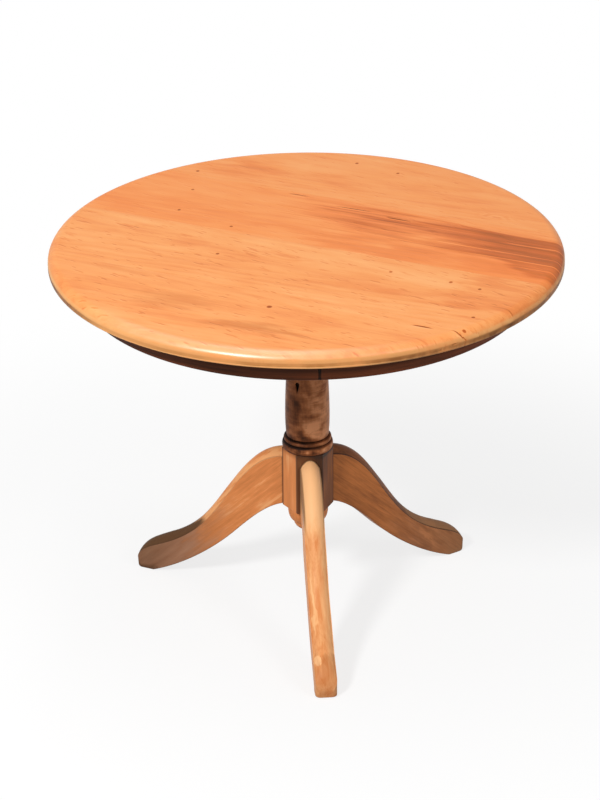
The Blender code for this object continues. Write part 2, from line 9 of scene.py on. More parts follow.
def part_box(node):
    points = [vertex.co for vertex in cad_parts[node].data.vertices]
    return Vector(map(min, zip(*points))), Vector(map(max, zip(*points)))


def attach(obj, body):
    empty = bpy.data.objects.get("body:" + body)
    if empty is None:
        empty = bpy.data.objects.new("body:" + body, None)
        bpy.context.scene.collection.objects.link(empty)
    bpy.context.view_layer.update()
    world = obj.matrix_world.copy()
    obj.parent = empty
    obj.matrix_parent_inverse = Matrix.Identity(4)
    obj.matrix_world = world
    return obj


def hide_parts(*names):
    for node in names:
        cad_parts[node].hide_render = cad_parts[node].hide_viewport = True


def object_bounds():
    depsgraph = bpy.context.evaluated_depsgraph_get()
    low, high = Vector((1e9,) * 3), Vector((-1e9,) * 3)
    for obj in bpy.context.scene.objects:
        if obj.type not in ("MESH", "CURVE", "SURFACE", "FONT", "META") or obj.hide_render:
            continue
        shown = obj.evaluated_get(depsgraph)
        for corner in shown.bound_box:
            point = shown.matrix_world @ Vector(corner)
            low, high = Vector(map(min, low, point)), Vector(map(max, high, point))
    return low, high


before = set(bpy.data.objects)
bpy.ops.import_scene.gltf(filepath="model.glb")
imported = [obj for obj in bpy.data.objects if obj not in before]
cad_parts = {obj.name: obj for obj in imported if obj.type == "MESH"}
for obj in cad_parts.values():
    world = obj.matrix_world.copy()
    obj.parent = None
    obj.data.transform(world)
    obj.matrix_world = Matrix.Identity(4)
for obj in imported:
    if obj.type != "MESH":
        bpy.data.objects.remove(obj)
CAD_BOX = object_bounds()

# Camera of the photograph
IMAGE_HEIGHT = 800
FOCAL_PIXELS = 3000
SENSOR_MM = 36.0
CAMERA_PLACE = (0.0, -5.0247, 2.8999)
CAMERA_PITCH = radians(26.186)
CAMERA_ROLL = radians(-0.5)
CAMERA_YAW = radians(-0.155)

# Studio
FLOOR_SIZE = 14.0
FLOOR_BOUNCE = 0.45
FLOOR_GLOW = 0.78
FLOOR_CLEAR = (0.7, 1.5)
WORLD_STRENGTH = 0.30
LAMP_DISTANCE = 6.0
LAMP_AIM = (0.0, 0.0, 0.55)
# Soft lamps as (name, power, size, azimuth, elevation)
SOFT_LAMPS = (
    ("key", 250.0, 1.0, radians(-124.0), radians(38.5)),
    ("fill", 70.0, 2.0, radians(-42.0), radians(35.0)),
)
STRIP_POWER = 16.0
STRIP_WIDTH = 0.45
STRIP_LENGTH = 2.8
STRIP_PLACE = (-0.27, 0.2, 3.25)

# Sizes repeated from the CAD model, or read from its box
GAP = 0.0003
TOP_RADIUS = CAD_BOX[1].x
TABLE_HEIGHT = CAD_BOX[1].z
TOP_THICKNESS = 0.028
TOP_UNDERSIDE = TABLE_HEIGHT - TOP_THICKNESS
EDGE_REACH = 0.020
EDGE_FLAT = 0.007
LOWER_ARRIS = 0.003
BOARD_COUNT = 4
BOARD_WIDTH = 0.220
BOARD_ANGLE = radians(-24.5)
TONGUE_THICKNESS = 0.008
TONGUE_DEPTH = 0.010
APRON_INSET = 0.057
APRON_OUTER = TOP_RADIUS - APRON_INSET
APRON_THICKNESS = 0.022
APRON_PIECES = 6
APRON_JOINT_ANGLE = radians(-87.0)
TOP_TENON_RADIUS = 0.022
FOOT_TENON_RADIUS = 0.017
SHOULDER_RADIUS = 0.042
SHOULDER_HEIGHT = 0.014
SHOULDER_FLAT = 0.007
NECK_RADIUS = 0.031
NECK_BEAD_HEIGHT = 0.012
NECK_BEAD_SWELL = 0.005
SHAFT_FOOT_RADIUS = 0.040
SHAFT_SWELL = 0.0055
SHAFT_SWELL_RISE = 0.043
SHAFT_TAPER_DROP = 0.086
SHAFT_FOOT_ROUND = 0.004
UPPER_RING_RADIUS = 0.045
UPPER_RING_HEIGHT = 0.009
LOWER_RING_RADIUS = 0.048
LOWER_RING_HEIGHT = 0.016
RING_SWELL = 0.004
SPIGOT_RADIUS = 0.010
SPIGOT_LENGTH = 0.030
DROP_RADIUS = 0.038
DROP_BEAD_HEIGHT = 0.030
DROP_BEAD_FLAT = 0.0075
DROP_GROOVE_RADIUS = 0.027
DROP_GROOVE_HEIGHT = 0.003
DROP_DOME_HEIGHT = 0.018
LEG_NAMES = ("front", "right", "left")
FRONT_LEG_ANGLE = radians(-85.0)
LEG_FACE = 0.0423
LEG_REACH = 0.322
LEG_HEAD_TOP = 0.309
LEG_HEAD_BOTTOM = 0.210
LEG_HEAD_THICKNESS = 0.037
LEG_TOE_THICKNESS = 0.041
LEG_CROWN = 0.015
LEG_TOE_CROWN = 0.018
LEG_TIP_CROWN = 0.003
LEG_CROWN_POWER = 2.2
LEG_ARRIS = 0.003
DOWEL_HOLE_RADIUS = 0.0063
DOWEL_IN_LEG = 0.0383
SCREW_HOLE_RADIUS = 0.0033
SCREW_HEAD_DEPTH = 0.004
SCREW_SHANK_SHARE = 6 / 11
SCREW_TIP = 0.006
# Bezier points of the leg's side view, as (share of the reach, share of the head's height).
# The last row of each is the toe, which is rounder than in the CAD model.
LEG_TOP_SHARES = (
    ((0.000, 1.000), (0.179, 0.971), (0.282, 0.793), (0.381, 0.638)),
    ((0.381, 0.638), (0.499, 0.453), (0.602, 0.317), (0.807, 0.215)),
    ((0.807, 0.215), (0.887, 0.175), (0.992, 0.142), (1.000, 0.046)),
)
LEG_UNDER_SHARES = (
    ((0.000, 1.000), (0.117, 0.948), (0.241, 0.741), (0.335, 0.591)),
    ((0.335, 0.591), (0.474, 0.367), (0.682, 0.124), (0.887, 0.000)),
    ((0.887, 0.000), (0.930, 0.000), (0.978, 0.000), (0.995, 0.012)),
)

# Fine shape and wear that only the looks have
LEG_LEDGE = 0.0013
LEG_EDGE_EASE = 0.0005
LEG_WEAR_BAND = 0.0030
# Largest shares of a leg's depth that its lower arris and the band take
ARRIS_SHARE = 0.25
WEAR_BAND_SHARE = 0.2
LEG_SWAY = 0.0007
SWAY_GROWTH = 6.0
SWAY_WAVES = 9.0
SWAY_LAYER = 0.5
DRIFT_WAVES = 5.0
LEG_SEED_STEP = 11.0
CROWN_SEED = 3.0
DRIFT_SEED = 7.0
TOE_ROUND = 0.010
BLOCK_EDGE_EASE = 0.0012
RAIL_EDGE_EASE = 0.0008
APRON_EDGE_EASE = 0.002
SLOT_WIDTH = 0.0013
SLOT_DEPTH = 0.0014
SCREW_RIM = 0.0004
SCREW_TURN = radians(137.5)
COLUMN_CRACK_ANGLE = radians(-118.0)
COLUMN_CRACK_LOW = 0.459
COLUMN_CRACK_HIGH = 0.482
COLUMN_CRACK_WIDTH = 0.0092
COLUMN_CRACK_DEPTH = 0.006
# Outline of the crack as shares of its half width and half height
COLUMN_CRACK_SHARES = (
    (0.1, -1.0), (0.4, -0.3), (0.8, 0.3), (1.0, 0.75), (0.4, 1.0),
    (-0.5, 0.9), (-1.0, 0.55), (-0.5, 0.1), (-0.3, -0.5),
)
# Nicks in the rim of the top: angle in degrees, height under the top, length, depth and height
RIM_NICKS = (
    (-30.0, 0.012, 0.010, 0.0022, 0.0050),
    (-57.5, 0.017, 0.016, 0.0016, 0.0035),
    (-61.0, 0.021, 0.007, 0.0018, 0.0030),
    (-152.0, 0.019, 0.012, 0.0014, 0.0040),
    (118.0, 0.016, 0.013, 0.0018, 0.0040),
    (41.0, 0.018, 0.009, 0.0016, 0.0035),
)

# Facets
DISC_STEPS = 320
EDGE_STEPS = 14
ARRIS_STEPS = 5
APRON_STEPS = 40
COLUMN_STEPS = 96
SHAFT_STEPS = 48
BEAD_STEPS = 12
ROUND_STEPS = 6
HOLE_STEPS = 16
SCREW_STEPS = 28
NICK_SUBDIVISIONS = 2
CROWN_STEPS = 18
LEG_CURVE_STEPS = (34, 34, 26)
EASE_SEGMENTS = 3
SMOOTH_ANGLE = radians(32.0)
SHARP_ANGLE = radians(40.0)
ARRIS_ANGLE = radians(25.0)
FLAT_ANGLE = radians(0.1)
SHORTEST_EASED_EDGE = 0.012
MERGE_DISTANCE = 1e-6


# Meshes

def smooth(mesh):
    mesh.shade_smooth()
    mesh.set_sharp_from_angle(angle=SMOOTH_ANGLE)
    return mesh


def mesh_from(bm):
    """Turn a bmesh into a mesh with its faces pointing out and its round faces smooth."""
    bmesh.ops.recalc_face_normals(bm, faces=bm.faces)
    mesh = bpy.data.meshes.new("mesh")
    bm.to_mesh(mesh)
    bm.free()
    return smooth(mesh)


def placed(mesh, matrix):
    """Copy of a mesh moved to its place, so that its object can stay at the origin."""
    copy = mesh.copy()
    copy.transform(matrix)
    return copy


def add_object(name, data):
    obj = bpy.data.objects.new(name, data)
    bpy.context.collection.objects.link(obj)
    return obj


def paint(mesh, material):
    mesh.materials.clear()
    mesh.materials.append(material)


def about_z(angle):
    return Matrix.Rotation(angle, 4, "Z")


def boolean(mesh, tool, operation="DIFFERENCE"):
    """Return mesh cut by, or kept inside, the tool mesh."""
    target = add_object("target", mesh)
    cutter = add_object("cutter", tool)
    modifier = target.modifiers.new(operation, "BOOLEAN")
    modifier.operation = operation
    modifier.object = cutter
    modifier.solver = "EXACT"
    depsgraph = bpy.context.evaluated_depsgraph_get()
    result = bpy.data.meshes.new_from_object(target.evaluated_get(depsgraph))
    bpy.data.objects.remove(target, do_unlink=True)
    bpy.data.objects.remove(cutter, do_unlink=True)
    return smooth(result)


def loft(rings):
    """Skin a row of rings of points into a closed solid."""
    bm = bmesh.new()
    loops = [[bm.verts.new(point) for point in ring] for ring in rings]
    count = len(loops[0])
    for near, far in zip(loops, loops[1:]):
        for i in range(count):
            j = (i + 1) % count
            bm.faces.new((near[i], near[j], far[j], far[i]))
    bm.faces.new(loops[0])
    bm.faces.new(loops[-1])
    return mesh_from(bm)


def turned(profile, steps):
    """Spin (radius, height) points round Z; the first and last point lie on the axis."""
    bm = bmesh.new()
    verts = [bm.verts.new((radius, 0.0, height)) for radius, height in profile]
    edges = [bm.edges.new(pair) for pair in zip(verts, verts[1:])]
    bmesh.ops.spin(bm, geom=verts + edges, cent=(0, 0, 0), axis=(0, 0, 1),
                   angle=2 * pi, steps=steps, use_merge=True)
    bmesh.ops.remove_doubles(bm, verts=bm.verts, dist=MERGE_DISTANCE)
    return mesh_from(bm)


def sector(section, half_angle, steps):
    """Sweep a closed (radius, height) section along an arc centred on +X."""
    rings = []
    for i in range(steps + 1):
        angle = half_angle * (2 * i / steps - 1)
        rings.append([(r * cos(angle), r * sin(angle), z) for r, z in section])
    return loft(rings)


def gather(meshes):
    """Join meshes into one mesh of separate solids."""
    joined = bmesh.new()
    for mesh in meshes:
        joined.from_mesh(mesh)
    return mesh_from(joined)


def arc(centre_x, centre_y, width, height, start, end, steps):
    """Elliptic arc of points; angles run from the first axis towards the second."""
    points = []
    for i in range(steps + 1):
        angle = start + (end - start) * i / steps
        points.append((centre_x + width * cos(angle), centre_y + height * sin(angle)))
    return points


def bead(radius, low, high, swell):
    """Half-round moulding on a turned profile, from low to high."""
    middle = (low + high) / 2
    return arc(radius - swell, middle, swell, (high - low) / 2, -pi / 2, pi / 2, BEAD_STEPS)


def rod(radius, low, high):
    """Cutter for a round hole along Z."""
    return turned(((0, low), (radius, low), (radius, high), (0, high)), HOLE_STEPS)


def cad_copy(node):
    """Bmesh of a CAD node with its doubled points merged."""
    bm = bmesh.new()
    bm.from_mesh(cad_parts[node].data)
    bmesh.ops.remove_doubles(bm, verts=bm.verts, dist=MERGE_DISTANCE)
    return bm


def is_sharp(edge, angle):
    return edge.is_manifold and edge.calc_face_angle() > angle


def softened(node, width):
    """Copy of a CAD node's mesh with its long sharp edges rounded over."""
    bm = cad_copy(node)
    bmesh.ops.dissolve_limit(bm, angle_limit=FLAT_ANGLE, verts=bm.verts, edges=bm.edges)
    edges = [edge for edge in bm.edges
             if is_sharp(edge, SHARP_ANGLE) and edge.calc_length() > SHORTEST_EASED_EDGE]
    bmesh.ops.bevel(bm, geom=edges, offset=width, segments=EASE_SEGMENTS, profile=0.5, affect="EDGES")
    return mesh_from(bm)


def add_piece(name, mesh, node, material):
    """Add a piece that stands for a CAD node and moves with the table."""
    obj = add_object(name, mesh)
    paint(mesh, material)
    flat_faces = obj.modifiers.new("flat faces", "WEIGHTED_NORMAL")
    flat_faces.keep_sharp = True
    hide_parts(node)
    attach(obj, "root")


def nodes_named(prefix):
    return sorted(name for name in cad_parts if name.startswith(prefix))


# Round top

def top_disc():
    """The whole round top with its rounded edge, before it is divided into boards."""
    arris_centre = TOP_RADIUS - LOWER_ARRIS
    round_centre = TOP_RADIUS - EDGE_REACH
    round_low = TOP_UNDERSIDE + LOWER_ARRIS + EDGE_FLAT
    profile = [(0, TOP_UNDERSIDE)]
    profile += arc(arris_centre, TOP_UNDERSIDE + LOWER_ARRIS, LOWER_ARRIS, LOWER_ARRIS,
                   -pi / 2, 0, ARRIS_STEPS)
    profile += arc(round_centre, round_low, EDGE_REACH, TABLE_HEIGHT - round_low,
                   0, pi / 2, EDGE_STEPS)
    profile.append((0, TABLE_HEIGHT))
    return turned(profile, DISC_STEPS)


def board_section(low, high, grooved, tongued):
    """Outline of a board's end as (across, height), with a groove at low and a tongue at high."""
    bottom = TOP_UNDERSIDE - TONGUE_DEPTH
    top = TABLE_HEIGHT + TONGUE_DEPTH
    middle = (TOP_UNDERSIDE + TABLE_HEIGHT) / 2
    outline = [(high, bottom)]
    if tongued:
        tip = high + TONGUE_DEPTH
        under, over = (middle + side * TONGUE_THICKNESS / 2 for side in (-1, 1))
        outline += [(high, under), (tip, under), (tip, over), (high, over)]
    outline += [(high, top), (low, top)]
    if grooved:
        root = low + TONGUE_DEPTH + GAP
        under, over = (middle + side * (TONGUE_THICKNESS / 2 + GAP) for side in (-1, 1))
        outline += [(low, over), (root, over), (root, under), (low, under)]
    outline.append((low, bottom))
    return outline


def rim_nick(degrees, drop, length, depth, height):
    """Cutter for a worn nick: a small flattened ball set into the rim."""
    bm = bmesh.new()
    bmesh.ops.create_icosphere(bm, subdivisions=NICK_SUBDIVISIONS, radius=1.0)
    angle = radians(degrees)
    place = Vector((TOP_RADIUS * cos(angle), TOP_RADIUS * sin(angle), TABLE_HEIGHT - drop))
    matrix = Matrix.Translation(place) @ about_z(angle)
    matrix @= Matrix.Diagonal((depth, length / 2, height / 2, 1.0))
    bmesh.ops.transform(bm, matrix=matrix, verts=bm.verts)
    return mesh_from(bm)


def screw_hole(node):
    """Cutter for a screw's shank, from the middle of the screw to its point."""
    low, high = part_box(node)
    hole = rod(SCREW_HOLE_RADIUS, (low.z + high.z) / 2, high.z + GAP)
    return placed(hole, Matrix.Translation(((low.x + high.x) / 2, (low.y + high.y) / 2, 0)))


def add_boards():
    disc = top_disc()
    cutters = [rim_nick(*nick) for nick in RIM_NICKS]
    cutters += [screw_hole(node) for node in nodes_named("bearer_screw")]
    wear = gather(cutters)
    seams = [(i - BOARD_COUNT / 2) * BOARD_WIDTH for i in range(1, BOARD_COUNT)]
    far = 2 * TOP_RADIUS
    edges = [-far] + seams + [far]
    for i in range(BOARD_COUNT):
        first = i == 0
        last = i == BOARD_COUNT - 1
        section = board_section(edges[i] + GAP / 2, edges[i + 1] - GAP / 2, not first, not last)
        blank = loft([[(x, y, z) for y, z in section] for x in (-far, far)])
        blank = placed(blank, about_z(BOARD_ANGLE))
        board = boolean(disc.copy(), blank, "INTERSECT")
        board = boolean(board, wear.copy())
        add_piece(f"board_{i + 1}", board, f"top_board_{i + 1}", board_material(i))


def add_apron():
    low, high = (corner.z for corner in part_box("apron_segment_1"))
    inner = APRON_OUTER - APRON_THICKNESS
    ease = APRON_EDGE_EASE
    section = [(inner, high), (inner, low)]
    section += arc(APRON_OUTER - ease, low + ease, ease, ease, -pi / 2, 0, ROUND_STEPS)
    section.append((APRON_OUTER, high))
    pitch = 2 * pi / APRON_PIECES
    segment = sector(section, pitch / 2 - GAP / 2 / inner, APRON_STEPS)
    material = apron_material()
    for i in range(APRON_PIECES):
        piece = placed(segment, about_z(APRON_JOINT_ANGLE + (i + 0.5) * pitch))
        add_piece(f"apron_{i + 1}", piece, f"apron_segment_{i + 1}", material)


# Carcase under the top

def slotted_screw(low, high, head_radius):
    """Countersunk screw with a driver slot, standing on its head."""
    shank = head_radius * SCREW_SHANK_SHARE
    profile = ((0, low), (head_radius - SCREW_RIM, low), (head_radius, low + SCREW_RIM),
               (shank, low + SCREW_HEAD_DEPTH), (shank, high - SCREW_TIP), (0, high))
    body = turned(profile, SCREW_STEPS)
    reach = 2 * head_radius
    half = SLOT_WIDTH / 2
    outline = ((-reach, -half), (reach, -half), (reach, half), (-reach, half))
    slot = loft([[(x, y, z) for x, y in outline] for z in (low - SLOT_DEPTH, low + SLOT_DEPTH)])
    return boolean(body, slot)


def add_screws(material):
    for i, node in enumerate(nodes_named("bearer_screw") + nodes_named("top_block_screw")):
        low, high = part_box(node)
        middle = (low + high) / 2
        screw = slotted_screw(low.z, high.z, (high.x - low.x) / 2)
        place = Matrix.Translation((middle.x, middle.y, 0)) @ about_z(i * SCREW_TURN)
        add_piece(f"slotted_{node}", placed(screw, place), node, material)


def add_rails(material):
    for node in ["left_bearer", "right_bearer", "top_block"] + nodes_named("apron_glue_block"):
        add_piece(f"eased_{node}", softened(node, RAIL_EDGE_EASE), node, material)


# Column, block and drop

def column_profile():
    low, high = (corner.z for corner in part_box("column"))
    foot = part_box("leg_block")[1].z + GAP
    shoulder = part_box("top_block")[0].z - GAP
    spigot = SPIGOT_RADIUS + GAP
    ring_top = foot + LOWER_RING_HEIGHT
    collar_top = ring_top + UPPER_RING_HEIGHT
    shaft_low = collar_top + SHAFT_FOOT_ROUND
    shoulder_low = shoulder - SHOULDER_HEIGHT
    shaft_high = shoulder_low - NECK_BEAD_HEIGHT
    knots = (Vector((SHAFT_FOOT_RADIUS, shaft_low)),
             Vector((SHAFT_FOOT_RADIUS + SHAFT_SWELL, shaft_low + SHAFT_SWELL_RISE)),
             Vector((NECK_RADIUS + SHAFT_SWELL, shaft_high - SHAFT_TAPER_DROP)),
             Vector((NECK_RADIUS, shaft_high)))
    profile = [(0, low + SPIGOT_LENGTH), (spigot, low + SPIGOT_LENGTH), (spigot, low),
               (FOOT_TENON_RADIUS, low), (FOOT_TENON_RADIUS, foot)]
    profile += bead(LOWER_RING_RADIUS, foot, ring_top, RING_SWELL)
    profile += bead(UPPER_RING_RADIUS, ring_top, collar_top, RING_SWELL)[1:]
    profile += arc(SHAFT_FOOT_RADIUS - SHAFT_FOOT_ROUND, shaft_low, SHAFT_FOOT_ROUND, SHAFT_FOOT_ROUND,
                   -pi / 2, 0, ROUND_STEPS)
    profile += [tuple(point) for point in interpolate_bezier(*knots, SHAFT_STEPS)][1:]
    profile += bead(NECK_RADIUS + NECK_BEAD_SWELL, shaft_high, shoulder_low, NECK_BEAD_SWELL)[1:]
    profile += [(SHOULDER_RADIUS, shoulder - SHOULDER_FLAT), (SHOULDER_RADIUS, shoulder),
                (TOP_TENON_RADIUS, shoulder), (TOP_TENON_RADIUS, high), (0, high)]
    return profile


def shaft_crack():
    """Cutter for the drying crack in the shaft: a ragged wedge that closes at its foot."""
    middle = (COLUMN_CRACK_LOW + COLUMN_CRACK_HIGH) / 2
    half = (COLUMN_CRACK_HIGH - COLUMN_CRACK_LOW) / 2
    outline = [(u * COLUMN_CRACK_WIDTH / 2, middle + v * half) for u, v in COLUMN_CRACK_SHARES]
    inner = SHAFT_FOOT_RADIUS - COLUMN_CRACK_DEPTH
    crack = loft([[(x, y, z) for y, z in outline] for x in (inner, 2 * SHAFT_FOOT_RADIUS)])
    return placed(crack, about_z(COLUMN_CRACK_ANGLE))


def wedge_slot():
    """Cutter for the wedge in the top tenon, a little larger than the wedge itself."""
    bm = cad_copy("tenon_wedge")
    low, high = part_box("tenon_wedge")
    middle = (low + high) / 2
    growth = Matrix.Scale(1 + 2 * GAP / (high.z - low.z), 4)
    matrix = Matrix.Translation(middle) @ growth @ Matrix.Translation(-middle)
    bmesh.ops.transform(bm, matrix=matrix, verts=bm.verts)
    return mesh_from(bm)


def add_column():
    column = turned(column_profile(), COLUMN_STEPS)
    column = boolean(column, gather([shaft_crack(), wedge_slot()]))
    add_piece("turned_column", column, "column", column_material())


def add_leg_block():
    add_piece("hexagon_block", softened("leg_block", BLOCK_EDGE_EASE), "leg_block", block_material())


def add_drop():
    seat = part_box("leg_block")[0].z - GAP
    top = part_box("turned_drop")[1].z
    bead_low = seat - DROP_BEAD_HEIGHT
    dome_top = bead_low - DROP_GROOVE_HEIGHT
    profile = arc(0, dome_top, DROP_GROOVE_RADIUS, DROP_DOME_HEIGHT, -pi / 2, 0, BEAD_STEPS)
    profile += [(DROP_GROOVE_RADIUS, bead_low)]
    profile += arc(DROP_GROOVE_RADIUS, seat - DROP_BEAD_FLAT, DROP_RADIUS - DROP_GROOVE_RADIUS,
                   DROP_BEAD_HEIGHT - DROP_BEAD_FLAT, -pi / 2, 0, BEAD_STEPS)[1:]
    profile += [(DROP_RADIUS, seat), (SPIGOT_RADIUS, seat), (SPIGOT_RADIUS, top), (0, top)]
    add_piece("domed_drop", turned(profile, COLUMN_STEPS), "turned_drop", drop_material())


# Legs

def leg_curve(shares, head_height):
    """Points along a leg's edge as (radius, height)."""
    points = []
    for knots, steps in zip(shares, LEG_CURVE_STEPS):
        places = [Vector((LEG_FACE + u * LEG_REACH, v * head_height)) for u, v in knots]
        stretch = interpolate_bezier(*places, steps + 1)
        points += stretch if not points else stretch[1:]
    return points


def leg_section(thickness, depth, crown):
    """Outline across a leg as (sideways, up): eased lower arrises, flat sides, narrow ledge, crown."""
    half = thickness / 2
    arris = min(LEG_ARRIS, ARRIS_SHARE * depth)
    band = min(LEG_WEAR_BAND, WEAR_BAND_SHARE * depth)
    right = arc(half - arris, arris, arris, arris, -pi / 2, 0, ROUND_STEPS)
    right += [(half, arris + band), (half, depth - band)]
    right += arc(half - LEG_EDGE_EASE, depth - LEG_EDGE_EASE, LEG_EDGE_EASE, LEG_EDGE_EASE,
                 0, pi / 2, EASE_SEGMENTS)
    chord = half - LEG_LEDGE
    right.append((chord, depth))
    arch = []
    for i in range(1, CROWN_STEPS):
        share = 1 - 2 * i / CROWN_STEPS
        arch.append((chord * share, depth + crown * (1 - abs(share) ** LEG_CROWN_POWER)))
    left = [(-x, y) for x, y in reversed(right)]
    return right + arch + left


def sway(share, seed, waves=SWAY_WAVES):
    """Slow hand-shaped unevenness along a leg, nil where the leg meets the block."""
    wave = noise.noise(Vector((share * waves, seed, SWAY_LAYER)))
    return LEG_SWAY * min(1.0, SWAY_GROWTH * share) * wave


def drift(share, seed):
    """Sideways place of a leg's middle."""
    return 2 * sway(share, seed + DRIFT_SEED, DRIFT_WAVES)


def leg_crown(step, toe_start, last):
    """Rise of the crown: it swells a little down to the toe and dies away over it."""
    if step <= toe_start:
        return LEG_CROWN + (LEG_TOE_CROWN - LEG_CROWN) * step / toe_start
    return LEG_TOE_CROWN + (LEG_TIP_CROWN - LEG_TOE_CROWN) * (step - toe_start) / (last - toe_start)


def round_corners(rings, middle):
    """Draw the sides of a leg in near its end, so that the toe has rounded corners in plan."""
    half = LEG_TOE_THICKNESS / 2
    for ring in rings:
        for point, end in zip(ring, rings[-1]):
            beyond = max(0.0, TOE_ROUND - (end.x - point.x))
            inset = TOE_ROUND - sqrt(TOE_ROUND ** 2 - beyond ** 2)
            point.y = middle + (point.y - middle) * (1 - inset / half)


def leg_body(seed):
    top = leg_curve(LEG_TOP_SHARES, LEG_HEAD_TOP)
    under = leg_curve(LEG_UNDER_SHARES, LEG_HEAD_BOTTOM)
    last = len(top) - 1
    toe_start = last - LEG_CURVE_STEPS[-1]
    rings = []
    for i, (upper, lower) in enumerate(zip(top, under)):
        share = i / last
        thickness = LEG_HEAD_THICKNESS + (LEG_TOE_THICKNESS - LEG_HEAD_THICKNESS) * share
        thickness += sway(share, seed)
        crown = leg_crown(i, toe_start, last) + sway(share, seed + CROWN_SEED)
        rise = upper - lower
        depth = rise.length
        up = rise / depth
        ring = []
        for side, height in leg_section(thickness, depth, crown):
            place = lower + up * height
            ring.append(Vector((place.x, side + drift(share, seed), place.y)))
        rings.append(ring)
    round_corners(rings, drift(1.0, seed))
    return loft(rings)


def mark_arrises(mesh):
    """Store 1 on the points of sharp edges and 0 elsewhere, for painted shade and dirt along the edges."""
    bm = bmesh.new()
    bm.from_mesh(mesh)
    values = [float(any(is_sharp(edge, ARRIS_ANGLE) for edge in vert.link_edges)) for vert in bm.verts]
    bm.free()
    mesh.attributes.new("arris", "FLOAT", "POINT").data.foreach_set("value", values)


def dowel_holes(name):
    """Cutters for a leg's two dowels, in the frame of the leg that points along +X."""
    holes = []
    for node in nodes_named(f"{name}_leg_"):
        low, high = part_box(node)
        hole = rod(DOWEL_HOLE_RADIUS, LEG_FACE - DOWEL_IN_LEG, LEG_FACE + DOWEL_IN_LEG)
        matrix = Matrix.Translation((0, 0, (low.z + high.z) / 2)) @ Matrix.Rotation(pi / 2, 4, "Y")
        holes.append(placed(hole, matrix))
    return gather(holes)


def leg_angle(index):
    return FRONT_LEG_ANGLE + index * 2 * pi / len(LEG_NAMES)


def add_legs():
    for i, name in enumerate(LEG_NAMES):
        leg = boolean(leg_body(LEG_SEED_STEP * i), dowel_holes(name))
        mark_arrises(leg)
        leg = placed(leg, about_z(leg_angle(i)))
        add_piece(f"sabre_leg_{name}", leg, f"{name}_leg", leg_material(i))


# Node graphs
# A seed moves a noise by these shares along each axis
SEED_SHARES = (1.0, 1.7, 0.6)


class Signal:
    """A node's output, so that a pattern can be written as a formula."""

    def __init__(self, graph, socket):
        self.graph = graph
        self.socket = socket

    def __add__(self, other):
        return self.graph.math("ADD", self, other)

    def __sub__(self, other):
        return self.graph.math("SUBTRACT", self, other)

    def __rsub__(self, other):
        return self.graph.math("SUBTRACT", other, self)

    def __mul__(self, other):
        return self.graph.math("MULTIPLY", self, other)

    def __truediv__(self, other):
        return self.graph.math("DIVIDE", self, other)

    def __abs__(self):
        return self.graph.math("ABSOLUTE", self)

    __radd__ = __add__
    __rmul__ = __mul__


class Graph:
    """The nodes of one material or world, added with short calls."""

    def __init__(self, owner):
        owner.use_nodes = True
        self.owner = owner
        self.tree = owner.node_tree
        self.shader = self.tree.nodes.get("Principled BSDF")

    def feed(self, socket, value):
        if isinstance(value, Signal):
            self.tree.links.new(value.socket, socket)
        else:
            socket.default_value = value

    def add(self, kind, inputs, output=0, **settings):
        node = self.tree.nodes.new("ShaderNode" + kind)
        for key, value in settings.items():
            setattr(node, key, value)
        for key, value in inputs.items():
            self.feed(node.inputs[key], value)
        return Signal(self, node.outputs[output])

    def math(self, operation, first, second=0.0):
        return self.add("Math", {0: first, 1: second}, operation=operation)

    def place(self):
        """Point on the surface in metres, in the table's own frame."""
        return self.add("TexCoord", {}, "Object")

    def turn(self, point, rotation):
        return self.add("Mapping", {"Vector": point, "Rotation": rotation})

    def parts(self, point):
        node = self.add("SeparateXYZ", {0: point}).socket.node
        return [Signal(self, output) for output in node.outputs]

    def point(self, x, y, z):
        return self.add("CombineXYZ", {0: x, 1: y, 2: z})

    def length(self, x, y):
        return self.add("VectorMath", {0: self.point(x, y, 0.0)}, "Value", operation="LENGTH")

    def step(self, value, low, high):
        """Rise smoothly from 0 to 1 as the value goes from low to high, or fall if low is larger."""
        inputs = {"Value": value, "From Min": low, "From Max": high}
        return self.add("MapRange", inputs, interpolation_type="SMOOTHSTEP")

    def grain(self, point, size, seed, detail=2.0):
        """Noise about 0, with features of the given size in metres along the point's axes."""
        scale = [1 / length for length in size]
        shift = [share * seed for share in SEED_SHARES]
        spread = self.add("Mapping", {"Vector": point, "Scale": scale, "Location": shift})
        return self.add("TexNoise", {"Vector": spread, "Scale": 1.0, "Detail": detail}) - 0.5

    def grains(self, point, rows, seed=0.0):
        """Grain for each row of (size, seed, detail), with the seed added to the row's own."""
        return [self.grain(point, size, seed + own, detail) for size, own, detail in rows]

    def ramp(self, value, stops):
        """Colour that runs through (place, colour) stops."""
        signal = self.add("ValToRGB", {0: value})
        elements = signal.socket.node.color_ramp.elements
        while len(elements) < len(stops):
            elements.new(1.0)
        for element, (place, colour) in zip(elements, stops):
            element.position = place
            element.color = (*colour, 1.0)
        return signal

    def mix(self, share, first, second):
        """Colour between two colours; a plain colour may be given as three numbers."""
        colours = [value if isinstance(value, Signal) else (*value, 1.0) for value in (first, second)]
        inputs = {0: share, 6: colours[0], 7: colours[1]}
        return self.add("Mix", inputs, 2, data_type="RGBA")

    def facing(self):
        """Upward part of the surface's direction, from -1 to 1."""
        normal = self.add("NewGeometry", {}, "Normal")
        return self.parts(normal)[2]

    def finish(self, colour, roughness, height, relief=0.0004, specular=0.10):
        """Join the patterns to the shader; relief is the depth in metres that the height stands for."""
        bump = self.add("Bump", {"Height": height, "Distance": relief, "Strength": 1.0})
        self.feed(self.shader.inputs["Base Color"], colour)
        self.feed(self.shader.inputs["Roughness"], roughness)
        self.feed(self.shader.inputs["Normal"], bump)
        self.shader.inputs["Specular IOR Level"].default_value = specular
        return self.owner


